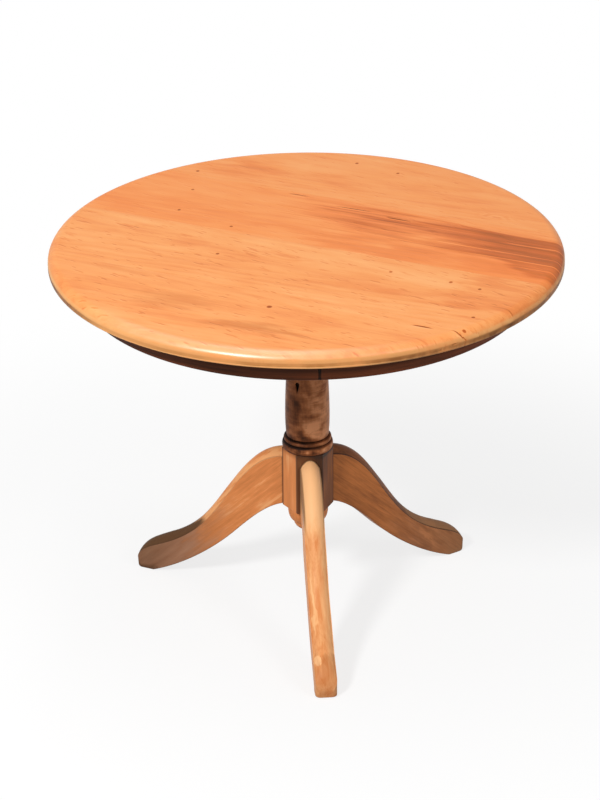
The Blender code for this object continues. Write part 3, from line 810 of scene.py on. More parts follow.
# Wood patterns; the grain runs along the X of the point that they are given.
# Rings are (pith, spacing, tilt, seed) and grains are rows of (size, seed, detail). A seed of the piece's
# own takes the place of the rings' seed and is added to the grains' seeds.
RING_WANDER = 0.05
RING_WANDER_SIZE = (0.40, 0.06, 0.06)
FIBRE_SIZE = (0.030, 0.0010, 0.0016)


def late_wood(g, point, pith, spacing, tilt, seed):
    """Lines of late wood: growth rings round a pith that runs nearly along the grain."""
    along, across, up = g.parts(point)
    wander = RING_WANDER * g.grain(point, RING_WANDER_SIZE, seed)
    away = g.length(across - pith[0] + wander, up - pith[1] + tilt * along)
    ring = g.math("FRACT", away / spacing)
    return g.step(ring, 0.25, 0.85) * g.step(ring, 1.0, 0.90)


def oval(g, x, y, u, v, half_length, half_width):
    """Distance from the centre (u, v) of an oval, which is 1 on its edge."""
    return g.length((x - u) / half_length, (y - v) / half_width)


def spot(g, x, y, *shape):
    """Soft-edged oval, 1 inside and 0 outside."""
    return g.step(oval(g, x, y, *shape), 1.0, 0.5)


# Waxed pine of the top, from its darkest lines to its palest wood
TOP_TONES = (
    (0.00, (0.070, 0.018, 0.006)),
    (0.20, (0.260, 0.060, 0.012)),
    (0.38, (0.490, 0.108, 0.024)),
    (0.58, (0.720, 0.215, 0.060)),
    (0.72, (0.830, 0.270, 0.078)),
    (0.82, (0.890, 0.345, 0.110)),
    (1.00, (0.930, 0.440, 0.170)),
)
RED_PINE = (0.880, 0.225, 0.046)
BOARD_SEEDS = (3.0, 10.0, 17.0, 24.0)
BOARD_TONES = (0.83, 0.85, 0.845, 0.87)
BOARD_REDNESS = (0.00, 0.00, 0.30, 0.16)
BOARD_RINGS = (0.03, 0.04, 0.03, 0.04)
BOARD_FLECKS = (0.18, 0.18, 0.10, 0.12)
PITH_BESIDE_MIDDLE = 0.03
PITH_UNDER_TOP = 0.13
BOARD_RING_SPACING = 0.011
BOARD_RING_TILT = 0.06
BOARD_GRAINS = (
    ((0.60, 0.11, 0.11), 0, 2.0),
    ((0.34, 0.010, 0.02), 1, 3.0),
    ((0.11, 0.032, 0.05), 3, 4.0),
    ((0.050, 0.0016, 0.0024), 0, 3.0),
)
FLECK_GRAINS = (((0.028, 0.006, 0.02), 2, 1.0), ((0.060, 0.012, 0.03), 5, 3.0))
FLECK_TILT = radians(10.0)
FLECK_EDGE = 0.0028
PALE_FLECKS = 0.07
# Dark heartwood band on the third board, in the boards' frame
BAND_BOARD = 2
BAND_START = -0.16
BAND_END = 0.44
BAND_TOP = 0.208
BAND_TOP_DROP = 0.022
BAND_TOP_EDGE = (0.005, -0.007)
BAND_LOW_END = 0.028
BAND_LOW_STEP = 0.040
BAND_LOW_RISE = 0.080
BAND_LOW_EDGE = (-0.006, 0.014)
BAND_FRINGE = (-0.060, 0.0)
BAND_RED_ALONG = (0.10, 0.40)
BAND_RED_ACROSS = (0.10, 0.05)
BAND_GRAINS = (
    ((0.34, 0.022, 0.03), 5.0, 2.0),
    ((0.30, 0.0060, 0.02), 8.0, 3.0),
    ((0.12, 0.020, 0.03), 13.0, 3.0),
)
# Pale lines along the band as (across, start)
BAND_PALE_LINES = ((0.107, 0.18), (0.150, 0.30), (0.080, 0.26), (0.056, 0.36))
PALE_LINE_EDGE = (0.0030, 0.0010)
PALE_LINE_FADE = 0.06
# The rim: worn pale with painted light, brown in front and along its flat, and painted shade below at its
# right and far left
WORN_AND_LIT_RIM = (0.900, 0.460, 0.175)
WORN_AND_LIT_RIM_SHARE = 0.7
BROWN_RIM = (0.460, 0.180, 0.050)
BROWN_RIM_SHARE = 0.38
BROWN_FLAT_SHARE = 0.40
SHADED_RIM = (0.200, 0.075, 0.025)
SHADED_RIM_SHARE = 0.70
# Where the parts of the rim start: inwards from its edge, down from the top, then in X and in Y
RIM_INSETS = (1.2 * EDGE_REACH, 0.6 * EDGE_REACH)
ROUND_DROPS = (0.013, 0.008)
FLAT_DROPS = (0.0165, 0.0190)
ARRIS_DROPS = (0.0245, 0.0232)
SHADED_RIM_DROPS = (0.0150, 0.0205)
SHADED_RIM_RIGHT = (0.06, 0.22)
SHADED_RIM_LEFT = (-0.35, -0.42)
POLISHED_RIM_RIGHT = (0.26, 0.0)
SHADED_RIM_FRONT = (0.12, -0.05)
BROWN_RIM_FRONT = (-0.34, -0.43)
POLISHED_RIM_FRONT = (-0.26, -0.36)
POLISH_ROUGHNESS = 0.36
POLISH_IOR = 1.85
UNDERSIDE_DUST = ((0.30, 0.17, 0.085), (0.44, 0.27, 0.14))
# Marks in the boards' frame: small dark dots as (along, across, half width)
DOT_PLACES = (
    (-0.339, 0.243, 0.0030), (-0.306, 0.154, 0.0028), (-0.073, 0.401, 0.0030), (0.020, 0.383, 0.0028),
    (0.055, -0.277, 0.0042), (0.190, -0.054, 0.0030), (0.305, -0.053, 0.0030), (0.363, -0.062, 0.0028),
    (0.396, -0.177, 0.0030), (0.400, -0.229, 0.0032), (-0.161, 0.020, 0.0028), (-0.285, 0.055, 0.0026),
    (-0.129, -0.103, 0.0028),
)
# Cracks as (along, across, half length, half width)
CRACK_PLACES = (
    (-0.108, 0.209, 0.026, 0.0016),
    (0.013, 0.188, 0.044, 0.0018),
    (0.110, 0.176, 0.030, 0.0012),
    (0.330, -0.245, 0.024, 0.0016),
    (0.394, -0.2385, 0.016, 0.0016),
)
# Swirls, darker stains and brown stains as (along, across, half length, half width, strength)
SWIRL_PLACES = (
    (0.273, 0.256, 0.045, 0.018, 0.09),
    (-0.007, -0.069, 0.085, 0.022, 0.05),
    (0.235, -0.330, 0.050, 0.018, 0.05),
)
SWIRL_WAVES = 16.0
STAIN_PLACES = (
    (-0.203, 0.325, 0.140, 0.040, 0.07),
    (-0.240, 0.300, 0.090, 0.050, 0.05),
    (0.180, -0.130, 0.080, 0.016, 0.05),
    (0.200, 0.036, 0.260, 0.040, 0.11),
    (-0.300, -0.050, 0.060, 0.020, 0.06),
    (0.440, -0.070, 0.140, 0.120, 0.11),
)
BROWN_STAIN_PLACES = (
    (0.070, -0.358, 0.085, 0.024, 0.42),
    (-0.119, -0.318, 0.100, 0.036, 0.22),
    (-0.262, -0.232, 0.080, 0.030, 0.09),
)
STAIN_BROWN = (0.500, 0.135, 0.025)


def on_board(index, places):
    """The places that lie on a board, going by how far across they are."""
    boards = [place[1] // BOARD_WIDTH + BOARD_COUNT // 2 for place in places]
    return [place for place, board in zip(places, boards) if min(max(board, 0), BOARD_COUNT - 1) == index]


def heartwood_band(g, point, along, across):
    """Dark heartwood that widens and deepens towards the end of a board, with dark and pale lines."""
    reach = (along - BAND_START) / (BAND_END - BAND_START)
    broad, fine, patch = g.grains(point, BAND_GRAINS)
    bent = across + 0.04 * broad
    left = g.math("MAXIMUM", 1.0 - reach, 0.0)
    deep = g.step(reach, 0.55, 0.86)
    low = BAND_LOW_END + BAND_LOW_STEP * g.step(left, 0.0, 0.2) + BAND_LOW_RISE * (left * left)
    top = BAND_TOP - BAND_TOP_DROP * deep
    inside = g.step(bent - top, *BAND_TOP_EDGE) * g.step(bent - low, *BAND_LOW_EDGE)
    fringe = g.step(bent - BAND_TOP, *BAND_TOP_EDGE) * g.step(bent - low, *BAND_FRINGE)
    body = inside * g.step(reach, 0.05, 0.40)
    lines = fringe * g.step(fine + 0.5 * patch, 0.05, 0.16) * g.step(reach, 0.0, 0.15)
    pale = 0.12 * g.step(fine, -0.07, -0.16) * (1.0 - 0.6 * deep)
    for place, start in BAND_PALE_LINES:
        line = g.step(abs(across - place + 0.02 * broad), *PALE_LINE_EDGE)
        pale = pale + 0.30 * line * g.step(along, start, start + PALE_LINE_FADE)
    stripes = (0.8 * broad + 0.7 * patch) * (1.0 - 0.5 * deep)
    dark = body * (0.25 + 0.23 * deep + stripes) + 0.14 * lines * (1.0 - 0.5 * deep * inside)
    return dark + 0.10 * fringe * deep - pale * body


def flecks(g, point, seed):
    """Short dark flecks askew of the grain, and the pale wood beside them."""
    askew = g.turn(point, (0, 0, FLECK_TILT))
    small, broad = g.grains(askew, FLECK_GRAINS, seed)
    along, across, up = g.parts(askew)
    beside = g.grains(g.point(along, across + FLECK_EDGE, up), FLECK_GRAINS[:1], seed)[0]
    return g.step(small, 0.15, 0.24) + 0.7 * g.step(broad, 0.13, 0.24), g.step(beside, 0.15, 0.24)


def stains(g, index, along, across, streak, mottle):
    """Swirls and stains of a board as a loss of tone, and brown stains as a share of brown."""
    dark = 0.0
    for *shape, strength in on_board(index, SWIRL_PLACES):
        reach = oval(g, along, across, *shape)
        waves = g.math("SINE", SWIRL_WAVES * (reach + streak))
        dark = dark + strength * (0.4 + waves) * g.step(reach, 1.2, 0.1)
    for *shape, strength in on_board(index, STAIN_PLACES):
        dark = dark + strength * g.step(oval(g, along, across, *shape) + 2.5 * mottle, 1.2, 0.2)
    brown = 0.0
    for *shape, strength in BROWN_STAIN_PLACES:
        reach = oval(g, along, across, *shape)
        brown = brown + strength * g.step(reach + 2.5 * mottle + 1.5 * streak, 1.2, 0.2)
    return dark, brown


def dots_and_cracks(g, index, along, across, streak, mottle):
    """Dark dots, and dark cracks with paler wood beside them."""
    mark = 0.0
    for u, v, half_width in on_board(index, DOT_PLACES):
        dot = spot(g, along, across + 0.01 * mottle, u, v, 1.4 * half_width, 1.5 * half_width)
        mark = mark + 0.50 * dot
    bent = across + 0.02 * streak
    for u, v, half_length, half_width in on_board(index, CRACK_PLACES):
        crack = spot(g, along, bent, u, v, half_length, 1.3 * half_width)
        beside = spot(g, along, bent, u, v - 3.0 * half_width, half_length, 1.5 * half_width)
        mark = mark + 0.60 * crack - 0.12 * beside
    return mark


def rim_wear_light_and_shade(g, colour, x, y, drop, rim, mark, mottle):
    """Colour with the wear, painted light, brown dirt and painted shade of the rim, where drop is the
    depth under the top.
    """
    lower = rim * (1.0 - g.step(drop, *ROUND_DROPS))
    # Wear and painted light: the lower rim is made paler
    worn_and_lit = lower * (WORN_AND_LIT_RIM_SHARE + 2.0 * mottle)
    colour = g.mix(worn_and_lit * g.step(mark, 0.2, 0.0), colour, WORN_AND_LIT_RIM)
    front = BROWN_RIM_SHARE * g.step(y + 0.2 * mottle, *BROWN_RIM_FRONT)
    flat = BROWN_FLAT_SHARE * g.step(drop, *FLAT_DROPS)
    brown = lower * g.step(drop, *ARRIS_DROPS) * (front + flat)
    colour = g.mix((1.0 + 3.0 * mottle) * brown, colour, BROWN_RIM)
    # Painted shade: the lower rim darkens at its right and far left
    ends = g.step(x, *SHADED_RIM_RIGHT) + g.step(x, *SHADED_RIM_LEFT)
    dark = rim * ends * g.step(drop, *SHADED_RIM_DROPS) * g.step(y, *SHADED_RIM_FRONT)
    return g.mix((SHADED_RIM_SHARE + 2.0 * mottle) * dark, colour, SHADED_RIM)


def board_material(index):
    """Waxed pine board with its own tone, rings, flecks and marks."""
    g = Graph(bpy.data.materials.new(f"board_pine_{index + 1}"))
    seed = BOARD_SEEDS[index]
    world = g.place()
    x, y = g.parts(world)[:2]
    point = g.turn(world, (0, 0, -BOARD_ANGLE))
    along, across, up = g.parts(point)
    middle = (index + 0.5 - BOARD_COUNT / 2) * BOARD_WIDTH
    pith = (middle + PITH_BESIDE_MIDDLE, TABLE_HEIGHT - PITH_UNDER_TOP)
    rings = late_wood(g, point, pith, BOARD_RING_SPACING, BOARD_RING_TILT, seed)
    broad, streak, mottle, fibre = g.grains(point, BOARD_GRAINS, seed)
    fleck, pale_fleck = flecks(g, point, seed)
    dark, brown = stains(g, index, along, across, streak, mottle)
    mark = dots_and_cracks(g, index, along, across, streak, mottle)
    # Painted light: the tone rises by 0.07 a metre along the boards
    tone = BOARD_TONES[index] + 0.07 * along + 0.34 * broad + 0.18 * streak + 0.30 * mottle + 0.18 * fibre
    tone = tone - BOARD_RINGS[index] * rings - BOARD_FLECKS[index] * fleck + PALE_FLECKS * pale_fleck
    redness = BOARD_REDNESS[index]
    if index == BAND_BOARD:
        tone = tone - heartwood_band(g, point, along, across)
        redness = redness + 0.25 * g.step(along, *BAND_RED_ALONG) * g.step(across, *BAND_RED_ACROSS)
    colour = g.mix(brown, g.ramp(tone - dark - mark, TOP_TONES), STAIN_BROWN)
    colour = g.mix(redness * g.step(mark, 0.3, 0.0), colour, RED_PINE)
    rim = g.step(TOP_RADIUS - g.length(x, y), *RIM_INSETS)
    drop = TABLE_HEIGHT - (up + 0.004 * broad + 0.006 * mottle)
    colour = rim_wear_light_and_shade(g, colour, x, y, drop, rim, mark, mottle)
    under = g.step(g.facing(), -0.5, -0.9)
    colour = g.mix(under, colour, g.mix(0.5 + streak, *UNDERSIDE_DUST))
    polish = g.step(y + 0.04 * broad, *POLISHED_RIM_FRONT) * g.step(x, *POLISHED_RIM_RIGHT)
    g.feed(g.shader.inputs["Coat Weight"], rim * g.step(drop, *ROUND_DROPS) * polish)
    g.shader.inputs["Coat Roughness"].default_value = POLISH_ROUGHNESS
    g.shader.inputs["Coat IOR"].default_value = POLISH_IOR
    roughness = 0.42 + 0.25 * streak + 0.15 * fibre + 0.25 * under + 0.2 * mark
    height = (0.5 * fibre + 0.4 * streak - 0.3 * rings) * (1.0 - 0.8 * rim) - mark
    return g.finish(colour, roughness, height, relief=0.0003, specular=0.08)


# Dark stained apron ring
APRON_TONES = (
    (0.0, (0.012, 0.005, 0.003)),
    (0.5, (0.092, 0.027, 0.011)),
    (1.0, (0.225, 0.063, 0.024)),
)
APRON_GRAINS = (((0.12, 0.010, 0.006), 2.0, 3.0), ((0.20, 0.05, 0.05), 4.0, 2.0), (FIBRE_SIZE, 6.0, 3.0))
APRON_JOINT_EDGE = (0.0035, 0.0012)
# Heights over which the apron darkens towards its top: painted shade under the top's overhang
APRON_SHADE_HEIGHTS = (0.678, 0.688)
APRON_FOOT_HEIGHTS = (0.690, 0.672)
APRON_FOOT_LEFT = (0.05, -0.15)


def apron_material():
    g = Graph(bpy.data.materials.new("apron_pine"))
    x, y, z = g.parts(g.place())
    angle = g.math("ARCTAN2", y, x)
    point = g.point(angle * APRON_OUTER, g.length(x, y), z)
    streak, broad, fibre = g.grains(point, APRON_GRAINS)
    pitch = 2 * pi / APRON_PIECES
    turn = g.math("FRACT", (angle - APRON_JOINT_ANGLE + 4 * pi) / pitch)
    joint = g.step((0.5 - abs(turn - 0.5)) * (pitch * APRON_OUTER), *APRON_JOINT_EDGE)
    # Painted shade: the apron darkens towards its top, under the overhang of the top
    painted_shade = g.step(z + 0.01 * streak, *APRON_SHADE_HEIGHTS)
    foot = g.step(z, *APRON_FOOT_HEIGHTS) * g.step(x, *APRON_FOOT_LEFT)
    tone = 0.84 + streak + 0.6 * broad + 0.25 * fibre - 0.7 * joint - 0.45 * painted_shade - 0.30 * foot
    colour = g.ramp(tone, APRON_TONES)
    height = 0.6 * fibre + streak - joint
    return g.finish(colour, 0.48 + 0.3 * streak, height)


# Dark patinated column
COLUMN_TONES = (
    (0.0, (0.020, 0.008, 0.005)),
    (0.35, (0.190, 0.060, 0.022)),
    (0.65, (0.430, 0.152, 0.058)),
    (1.0, (0.800, 0.345, 0.160)),
)
COLUMN_RINGS = ((0.012, 0.004), 0.0045, 0.05, 9.0)
COLUMN_GRAINS = (
    ((0.10, 0.006, 0.006), 3.0, 3.0),
    ((0.09, 0.03, 0.03), 5.0, 2.0),
    ((0.018, 0.022, 0.022), 6.0, 3.0),
    (FIBRE_SIZE, 7.0, 3.0),
)
COLUMN_TURNING = (0.0016, 1.0, 1.0)
# Bands and scratches slant down to the left
SLANTED_GRAINS = (((0.008, 0.06, 0.06), 11.0, 2.0), ((0.0022, 0.05, 0.05), 4.0, 2.0))
COLUMN_SLANT = 0.12
# Stain, and a rubbed patch with painted sheen, on the shaft as (x, z, half width, half height)
SHAFT_STAIN = (-0.020, 0.430, 0.009, 0.038)
SHAFT_RUBBED_AND_LIT = (0.005, 0.391, 0.027, 0.015)
# Where the painted light on the right front, the scratches, the painted shade in the crack, the painted
# shadow at the foot and the painted shade in the grooves start
COLUMN_FRONT = (0.035, -0.015)
LIT_RIGHT_EDGE = (-0.025, 0.038)
SCRATCH_RIGHT = (0.0, 0.02)
SCRATCH_HEIGHTS = (0.395, 0.41)
CRACK_SHADE_RADII = (0.0390, 0.0370)
CRACK_SHADE_HEIGHTS = (0.492, 0.486)
SHADOW_RISES = (0.044, 0.030)
GROOVE_EDGE = (0.0034, 0.0008)
TOP_GROOVE_RISE = 0.001
COLLAR_FADE = 0.003
BELLY_HIGHLIGHT_EDGE = (0.006, 0.001)
BELLY_SHARE = 0.55


def column_material():
    g = Graph(bpy.data.materials.new("column_pine"))
    x, y, z = g.parts(g.place())
    point = g.point(z, x, y)
    rings = late_wood(g, point, *COLUMN_RINGS)
    streak, broad, blotch, fibre = g.grains(point, COLUMN_GRAINS)
    bands, scratch = g.grains(g.point(z - COLUMN_SLANT * x, x, y), SLANTED_GRAINS)
    turning = g.grain(g.point(z, 0.0, 0.0), COLUMN_TURNING, 2.0, 3.0)
    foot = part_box("leg_block")[1].z + GAP
    ring_top = foot + LOWER_RING_HEIGHT
    collar_top = ring_top + UPPER_RING_HEIGHT
    front = g.step(y, *COLUMN_FRONT)
    # Painted light: the front of the shaft is lighter towards its right
    right_front_light = g.step(x + 0.04 * blotch, *LIT_RIGHT_EDGE) * front
    stain = g.step(oval(g, x, z, *SHAFT_STAIN), 1.1, 0.3)
    # Wear and painted sheen: a lighter patch low on the shaft's front
    rubbed_and_lit = g.step(oval(g, x, z + 0.03 * blotch, *SHAFT_RUBBED_AND_LIT), 1.2, 0.4)
    shadow = g.step(z + 0.03 * blotch - foot, *SHADOW_RISES)
    scratch = g.step(scratch, 0.10, 0.19) * g.step(x, *SCRATCH_RIGHT) * g.step(z, *SCRATCH_HEIGHTS) * front
    # Painted shade inside the crack
    crack_shade = g.step(g.length(x, y), *CRACK_SHADE_RADII) * g.step(z, *CRACK_SHADE_HEIGHTS)
    tone = 0.49 + 0.40 * right_front_light + 0.2 * streak + 0.9 * blotch + 0.4 * bands + 0.3 * broad + 0.15 * fibre
    tone = tone + 0.15 * turning + 0.36 * rubbed_and_lit - 0.16 * shadow - 0.18 * stain - 0.20 * scratch
    tone = tone - 0.04 * rings - 0.6 * crack_shade
    # Painted shade in the grooves between the rings
    groove_shade = 0.0
    for level in (foot, ring_top, collar_top + TOP_GROOVE_RISE):
        groove_shade = groove_shade + g.step(abs(z - level), *GROOVE_EDGE)
    # Painted highlight on the belly of the lower ring
    belly_highlight = g.step(abs(z - foot - BELLY_SHARE * LOWER_RING_HEIGHT), *BELLY_HIGHLIGHT_EDGE)
    collar = g.step(z, collar_top + COLLAR_FADE, ring_top)
    tone = tone - 0.10 * collar + (0.08 + 1.2 * blotch) * belly_highlight - (0.34 + 0.8 * blotch) * groove_shade
    colour = g.ramp(tone, COLUMN_TONES)
    roughness = 0.42 + 0.3 * streak + 0.2 * groove_shade
    height = 0.5 * fibre + 0.6 * turning + 0.5 * streak
    return g.finish(colour, roughness, height, specular=0.08)


# Orange pine of the legs, block and drop
LEG_TONES = (
    (0.0, (0.035, 0.018, 0.011)),
    (0.25, (0.240, 0.082, 0.030)),
    (0.50, (0.600, 0.205, 0.062)),
    (0.75, (0.790, 0.280, 0.090)),
    (0.92, (0.960, 0.480, 0.205)),
    (1.0, (1.000, 0.545, 0.255)),
)
LEG_GRAIN_SLOPE = radians(42.0)
LEG_RINGS = ((0.05, 0.03), 0.008, 0.04)
LEG_GRAINS = (
    ((0.12, 0.006, 0.010), 1, 3.0),
    ((0.14, 0.05, 0.05), 2, 2.0),
    (FIBRE_SIZE, 0, 3.0),
    ((0.040, 0.014, 0.014), 3, 3.0),
)
# Looks of the front, right and left leg
LEG_SEEDS = (4.0, 9.0, 14.0)
LEG_BASE_TONES = (0.83, 0.45, 0.71)
# Painted light: the front leg's head is made lighter
LEG_HEAD_LIGHT_TONES = (0.23, 0.00, 0.00)
LEG_FIGURES = (0.7, 0.8, 1.25)
LEG_PALEST_TONES = (1.00, 0.80, 0.87)
# Painted light and shade: upward faces lighter on the left leg, darker on the right leg
LEG_CROWN_LIGHT_AND_SHADE = (0.00, -0.22, 0.17)
# Painted light: the front leg's far side is made lighter
LEG_FAR_SIDE_LIGHT_TONES = (0.08, 0.00, 0.00)
# Painted shade and dirt on the flanks by the front leg's head
HEAD_SHADE_AND_DIRT = (0.70, 0.00, 0.00)
# Painted shade and dirt along the arrises, in the ledge and at the seam by the block
ARRIS_SHADE_AND_DIRT = (0.10, 0.90, 0.30)
TOE_WEAR = (0.12, 0.30, 0.80)
TOE_DIRT = (0.36, 0.80, 0.97)
TOE_DIRT_REACHES = ((0.320, 0.338), (0.200, 0.240), (0.200, 0.240))
TOE_DIRT_COLOURS = ((0.300, 0.065, 0.008), (0.365, 0.185, 0.090), (0.092, 0.043, 0.019))
# Painted highlights as pale spots, as (out, sideways, half length, half width, strength)
LEG_HIGHLIGHT_SPOTS = (
    ((0.328, -0.014, 0.012, 0.007, 0.40), (0.230, -0.013, 0.060, 0.005, 0.15)),
    ((0.275, -0.012, 0.030, 0.008, 0.20),),
    ((0.235, 0.013, 0.040, 0.006, 0.10),),
)
TOE_WEAR_COLOURS = ((0.165, 0.088, 0.055), (0.360, 0.205, 0.135))
# Colour of the painted shade and dirt on the legs and the block
LEG_SHADE_AND_DIRT_COLOUR = (0.050, 0.022, 0.012)
# Where the painted light, the wear, the dirt and the painted shade start
HEAD_HEIGHTS = (0.20, 0.28)
FAR_SIDE = (0.0, 0.018)
TOE_WEAR_REACH = (0.14, 0.27)
TOE_TIP_REACH = (0.24, 0.37)
SOLE_HEIGHTS = (0.014, 0.002)
FLANK_SIDES = (0.0150, 0.0182)
FLANK_HEIGHTS = (0.21, 0.26)
LEG_SEAT_REACH = (LEG_FACE + 0.0050, LEG_FACE + 0.0010)
BLOCK_SEAT_REACH = (LEG_FACE - 0.0050, LEG_FACE - 0.0015)


def leg_material(index):
    """Pine leg with diagonal grain, painted light and shade, painted shade and dirt along its arrises, and
    a toe darkened by feet.
    """
    g = Graph(bpy.data.materials.new(f"leg_pine_{LEG_NAMES[index]}"))
    seed = LEG_SEEDS[index]
    local = g.turn(g.place(), (0, 0, -leg_angle(index)))
    out, side, z = g.parts(local)
    point = g.turn(local, (0, -LEG_GRAIN_SLOPE, 0))
    rings = late_wood(g, point, *LEG_RINGS, seed)
    streak, broad, fibre, mottle = g.grains(point, LEG_GRAINS, seed)
    upward = g.step(g.facing(), 0.15, 0.40)
    figure = 0.36 * streak + 0.36 * broad + 0.24 * mottle + 0.30 * fibre - 0.04 * rings
    tone = LEG_BASE_TONES[index] + LEG_FIGURES[index] * figure
    # Painted light on the front leg's head, and painted light and shade on the legs' upward faces
    tone = tone + LEG_HEAD_LIGHT_TONES[index] * g.step(z, *HEAD_HEIGHTS) + LEG_CROWN_LIGHT_AND_SHADE[index] * upward
    # Painted light on the far side of the front leg
    tone = tone + LEG_FAR_SIDE_LIGHT_TONES[index] * g.step(side, *FAR_SIDE)
    # Painted highlights
    for *shape, strength in LEG_HIGHLIGHT_SPOTS[index]:
        tone = tone + strength * spot(g, out, side + 0.03 * mottle, *shape)
    colour = g.ramp(g.math("MINIMUM", tone, LEG_PALEST_TONES[index]), LEG_TONES)
    wear = TOE_WEAR[index] * (1.0 - upward) * g.step(out + 0.10 * mottle + 0.08 * streak, *TOE_WEAR_REACH)
    colour = g.mix(wear, colour, g.mix(0.5 + 1.6 * mottle + 1.2 * streak, *TOE_WEAR_COLOURS))
    toe = g.step(out + 0.08 * mottle, *TOE_DIRT_REACHES[index])
    tip = g.step(out + 0.15 * mottle, *TOE_TIP_REACH)
    sole = g.step(z + 0.02 * mottle, *SOLE_HEIGHTS)
    dirt = toe * upward + (1.0 - upward) * (0.50 * tip + 0.5 * sole)
    dirt = TOE_DIRT[index] * g.math("MINIMUM", dirt, 1.0)
    colour = g.mix(dirt, colour, TOE_DIRT_COLOURS[index])
    # Painted shade and dirt on the flanks by the front leg's head
    flank = g.step(abs(side), *FLANK_SIDES) * g.step(z, *FLANK_HEIGHTS)
    # Painted shade and dirt where the leg meets the block
    seat = g.step(out, *LEG_SEAT_REACH)
    # Painted shade and dirt along the arrises
    arris = g.step(g.add("Attribute", {}, "Fac", attribute_name="arris"), 0.35, 0.8)
    for share in (HEAD_SHADE_AND_DIRT[index] * flank, 0.8 * seat, ARRIS_SHADE_AND_DIRT[index] * arris):
        colour = g.mix(share, colour, LEG_SHADE_AND_DIRT_COLOUR)
    roughness = 0.42 + 0.3 * streak + 0.2 * dirt
    height = 0.5 * fibre + 0.5 * streak - 0.2 * rings + 0.3 * mottle
    return g.finish(colour, roughness, height)


BLOCK_RINGS = ((0.03, 0.06), 0.006, 0.05, 2.0)
BLOCK_GRAINS = (((0.10, 0.006, 0.006), 8.0, 3.0), ((0.10, 0.04, 0.04), 6.0, 2.0), (FIBRE_SIZE, 5.0, 3.0))
BLOCK_SHADE_DEPTH = 0.012
BLOCK_SHADED_RIGHT = (0.0, 0.02)


def block_material():
    g = Graph(bpy.data.materials.new("block_pine"))
    x, y, z = g.parts(g.place())
    point = g.point(z, x, y)
    rings = late_wood(g, point, *BLOCK_RINGS)
    streak, broad, fibre = g.grains(point, BLOCK_GRAINS)
    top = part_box("leg_block")[1].z
    # Painted shade: the top of the block darkens under the column's collar
    painted_shade = g.step(z, top - BLOCK_SHADE_DEPTH, top)
    # Painted shade: the block is darker on its right
    right = g.step(x, *BLOCK_SHADED_RIGHT)
    tone = 0.72 + 0.3 * streak + 0.4 * broad + 0.2 * fibre - 0.05 * rings - 0.35 * painted_shade - 0.48 * right
    # Painted shade on the flats that carry the legs, beside each leg
    seat_shades = 0.0
    for angle in (leg_angle(index) for index in range(len(LEG_NAMES))):
        seat_shades = seat_shades + g.step(x * cos(angle) + y * sin(angle), *BLOCK_SEAT_REACH)
    colour = g.mix(0.85 * seat_shades, g.ramp(tone, LEG_TONES), LEG_SHADE_AND_DIRT_COLOUR)
    height = 0.5 * fibre + 0.5 * streak
    return g.finish(colour, 0.48 + 0.3 * streak, height, specular=0.15)


DROP_RINGS = ((0.01, 0.0), 0.005, 0.05, 6.0)
DROP_STREAKS = (0.06, 0.006, 0.006)
DROP_TURNING = (0.0014, 1.0, 1.0)


def drop_material():
    g = Graph(bpy.data.materials.new("drop_pine"))
    x, y, z = g.parts(g.place())
    point = g.point(z, x, y)
    rings = late_wood(g, point, *DROP_RINGS)
    streak = g.grain(point, DROP_STREAKS, 1.0, 3.0)
    turning = g.grain(g.point(z, 0.0, 0.0), DROP_TURNING, 4.0, 3.0)
    colour = g.ramp(0.66 + 0.4 * streak + 0.3 * turning - 0.10 * rings, LEG_TONES)
    height = turning + 0.5 * streak
    return g.finish(colour, 0.48 + 0.3 * streak, height, specular=0.15)


# Hidden wood, as its light and dark colour, and metal
RAW_PINE = ((0.56, 0.37, 0.19), (0.34, 0.20, 0.095))
BEECH = ((0.68, 0.50, 0.31), (0.50, 0.34, 0.19))
HIDDEN_RINGS = ((0.02, 0.60), 0.006, 0.05, 3.0)
HIDDEN_GRAINS = (((0.14, 0.006, 0.006), 2.0, 3.0), ((0.12, 0.05, 0.05), 9.0, 2.0), (FIBRE_SIZE, 4.0, 3.0))
STEEL_GRAINS = (((0.004, 0.0004, 0.004), 1.0, 3.0), ((0.004, 0.004, 0.004), 6.0, 3.0))
STEEL_COLOUR = (0.36, 0.35, 0.34)
RUST_COLOUR = (0.13, 0.060, 0.030)


def plain_wood_material(name, colours, angle):
    """Unfinished wood with its grain across the floor plan at the given angle."""
    g = Graph(bpy.data.materials.new(name))
    point = g.turn(g.place(), (0, 0, -angle))
    rings = late_wood(g, point, *HIDDEN_RINGS)
    streak, stain, fibre = g.grains(point, HIDDEN_GRAINS)
    share = 0.35 + 0.9 * streak + 0.4 * fibre + 0.3 * rings + 0.25 * g.step(stain, 0.0, 0.3)
    height = fibre + 0.5 * streak
    return g.finish(g.mix(share, *colours), 0.68 + 0.3 * streak, height, relief=0.0005, specular=0.25)


def steel_material():
    g = Graph(bpy.data.materials.new("screw_steel"))
    scratch, rust = g.grains(g.place(), STEEL_GRAINS)
    rust = g.step(rust, 0.02, 0.16)
    colour = g.mix(0.6 * rust, STEEL_COLOUR, RUST_COLOUR)
    g.shader.inputs["Metallic"].default_value = 1.0
    roughness = 0.42 + 0.4 * scratch + 0.2 * rust
    return g.finish(colour, roughness, scratch - rust, relief=0.0002, specular=0.5)


def dress_hidden_nodes():
    """Materials for the CAD nodes that stay as they are."""
    beech = plain_wood_material("beech", BEECH, 0.0)
    for node in nodes_named("tenon_wedge") + [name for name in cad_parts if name.endswith("dowel")]:
        paint(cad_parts[node].data, beech)


# Stage
WHITE = (1.0, 1.0, 1.0, 1.0)


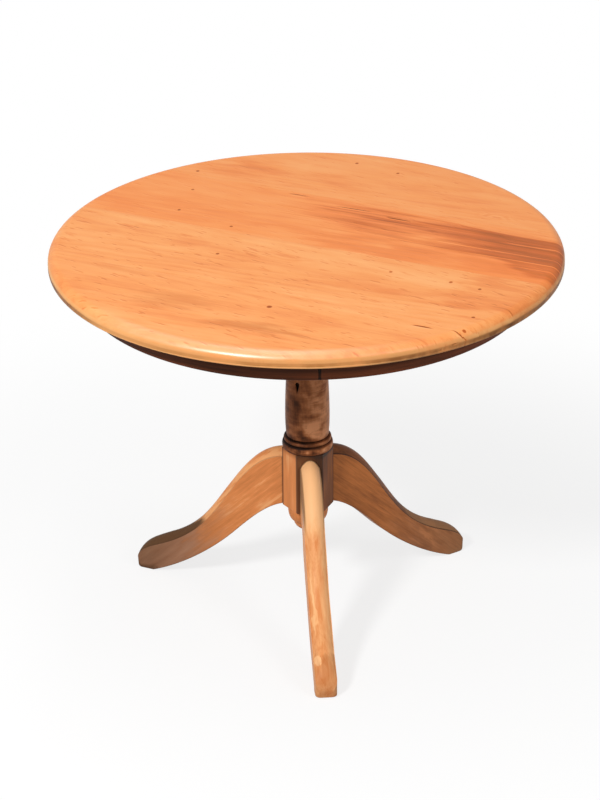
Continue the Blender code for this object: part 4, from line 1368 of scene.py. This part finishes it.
def ray_share(g):
    """1 for rays that look at the background directly, in a mirror or through glass."""
    rays = g.add("LightPath", {}).socket.node.outputs
    share = Signal(g, rays["Is Camera Ray"])
    for name in ("Is Glossy Ray", "Is Transmission Ray"):
        share = g.math("MAXIMUM", share, Signal(g, rays[name]))
    return share


def floor_material():
    """White to look at, with a mild bounce. Near the table part of it is lit and keeps the shadow."""
    g = Graph(bpy.data.materials.new("floor"))
    seen = ray_share(g)
    tone = FLOOR_BOUNCE + (1.0 - FLOOR_BOUNCE) * seen
    lit = g.add("BsdfDiffuse", {"Color": g.point(tone, tone, tone)})
    glow = g.add("Emission", {"Color": WHITE, "Strength": 1.0})
    x, y = g.parts(g.place())[:2]
    clear = g.step(g.length(x, y), *FLOOR_CLEAR)
    share = seen * (FLOOR_GLOW + (1.0 - FLOOR_GLOW) * clear)
    both = g.add("MixShader", {0: share, 1: lit, 2: glow})
    output = g.tree.nodes["Material Output"]
    g.feed(output.inputs["Surface"], both)
    g.tree.nodes.remove(g.shader)
    return g.owner


def add_floor():
    bm = bmesh.new()
    bmesh.ops.create_grid(bm, x_segments=1, y_segments=1, size=FLOOR_SIZE / 2)
    floor = add_object("floor", mesh_from(bm))
    paint(floor.data, floor_material())


def add_world():
    g = Graph(bpy.data.worlds.new("studio"))
    bpy.context.scene.world = g.owner
    seen = ray_share(g)
    strength = WORLD_STRENGTH + (1.0 - WORLD_STRENGTH) * seen
    background = g.tree.nodes["Background"]
    background.inputs["Color"].default_value = WHITE
    g.feed(background.inputs["Strength"], strength)


def add_area_light(name, shape, power, place):
    light = bpy.data.lights.new(name, "AREA")
    light.shape = shape
    light.energy = power
    lamp = add_object(name, light)
    lamp.location = place
    return lamp


def add_soft_lamp(name, power, size, azimuth, elevation):
    """Round lamp that looks at the table from the given side."""
    level = cos(elevation)
    away = Vector((level * cos(azimuth), level * sin(azimuth), sin(elevation)))
    lamp = add_area_light(name, "DISK", power, Vector(LAMP_AIM) + LAMP_DISTANCE * away)
    lamp.data.size = size
    lamp.rotation_euler = away.to_track_quat("Z", "Y").to_euler()


def add_lights():
    """A soft key from the front left, a weak fill from the right, and a strip overhead for the rim."""
    for lamp in SOFT_LAMPS:
        add_soft_lamp(*lamp)
    strip = add_area_light("strip", "RECTANGLE", STRIP_POWER, STRIP_PLACE)
    strip.data.size = STRIP_WIDTH
    strip.data.size_y = STRIP_LENGTH


def add_camera():
    camera = bpy.data.cameras.new("camera")
    camera.sensor_width = SENSOR_MM
    camera.lens = FOCAL_PIXELS * SENSOR_MM / IMAGE_HEIGHT
    obj = add_object("camera", camera)
    turn = about_z(-CAMERA_YAW) @ Matrix.Rotation(pi / 2 - CAMERA_PITCH, 4, "X")
    obj.matrix_world = Matrix.Translation(CAMERA_PLACE) @ turn @ about_z(CAMERA_ROLL)
    bpy.context.scene.camera = obj


def main():
    add_camera()
    add_floor()
    add_world()
    add_lights()
    add_boards()
    add_apron()
    add_rails(plain_wood_material("raw_pine", RAW_PINE, BOARD_ANGLE + pi / 2))
    add_screws(steel_material())
    add_column()
    add_leg_block()
    add_drop()
    add_legs()
    dress_hidden_nodes()
    bpy.context.scene.view_settings.view_transform = "Standard"


main()
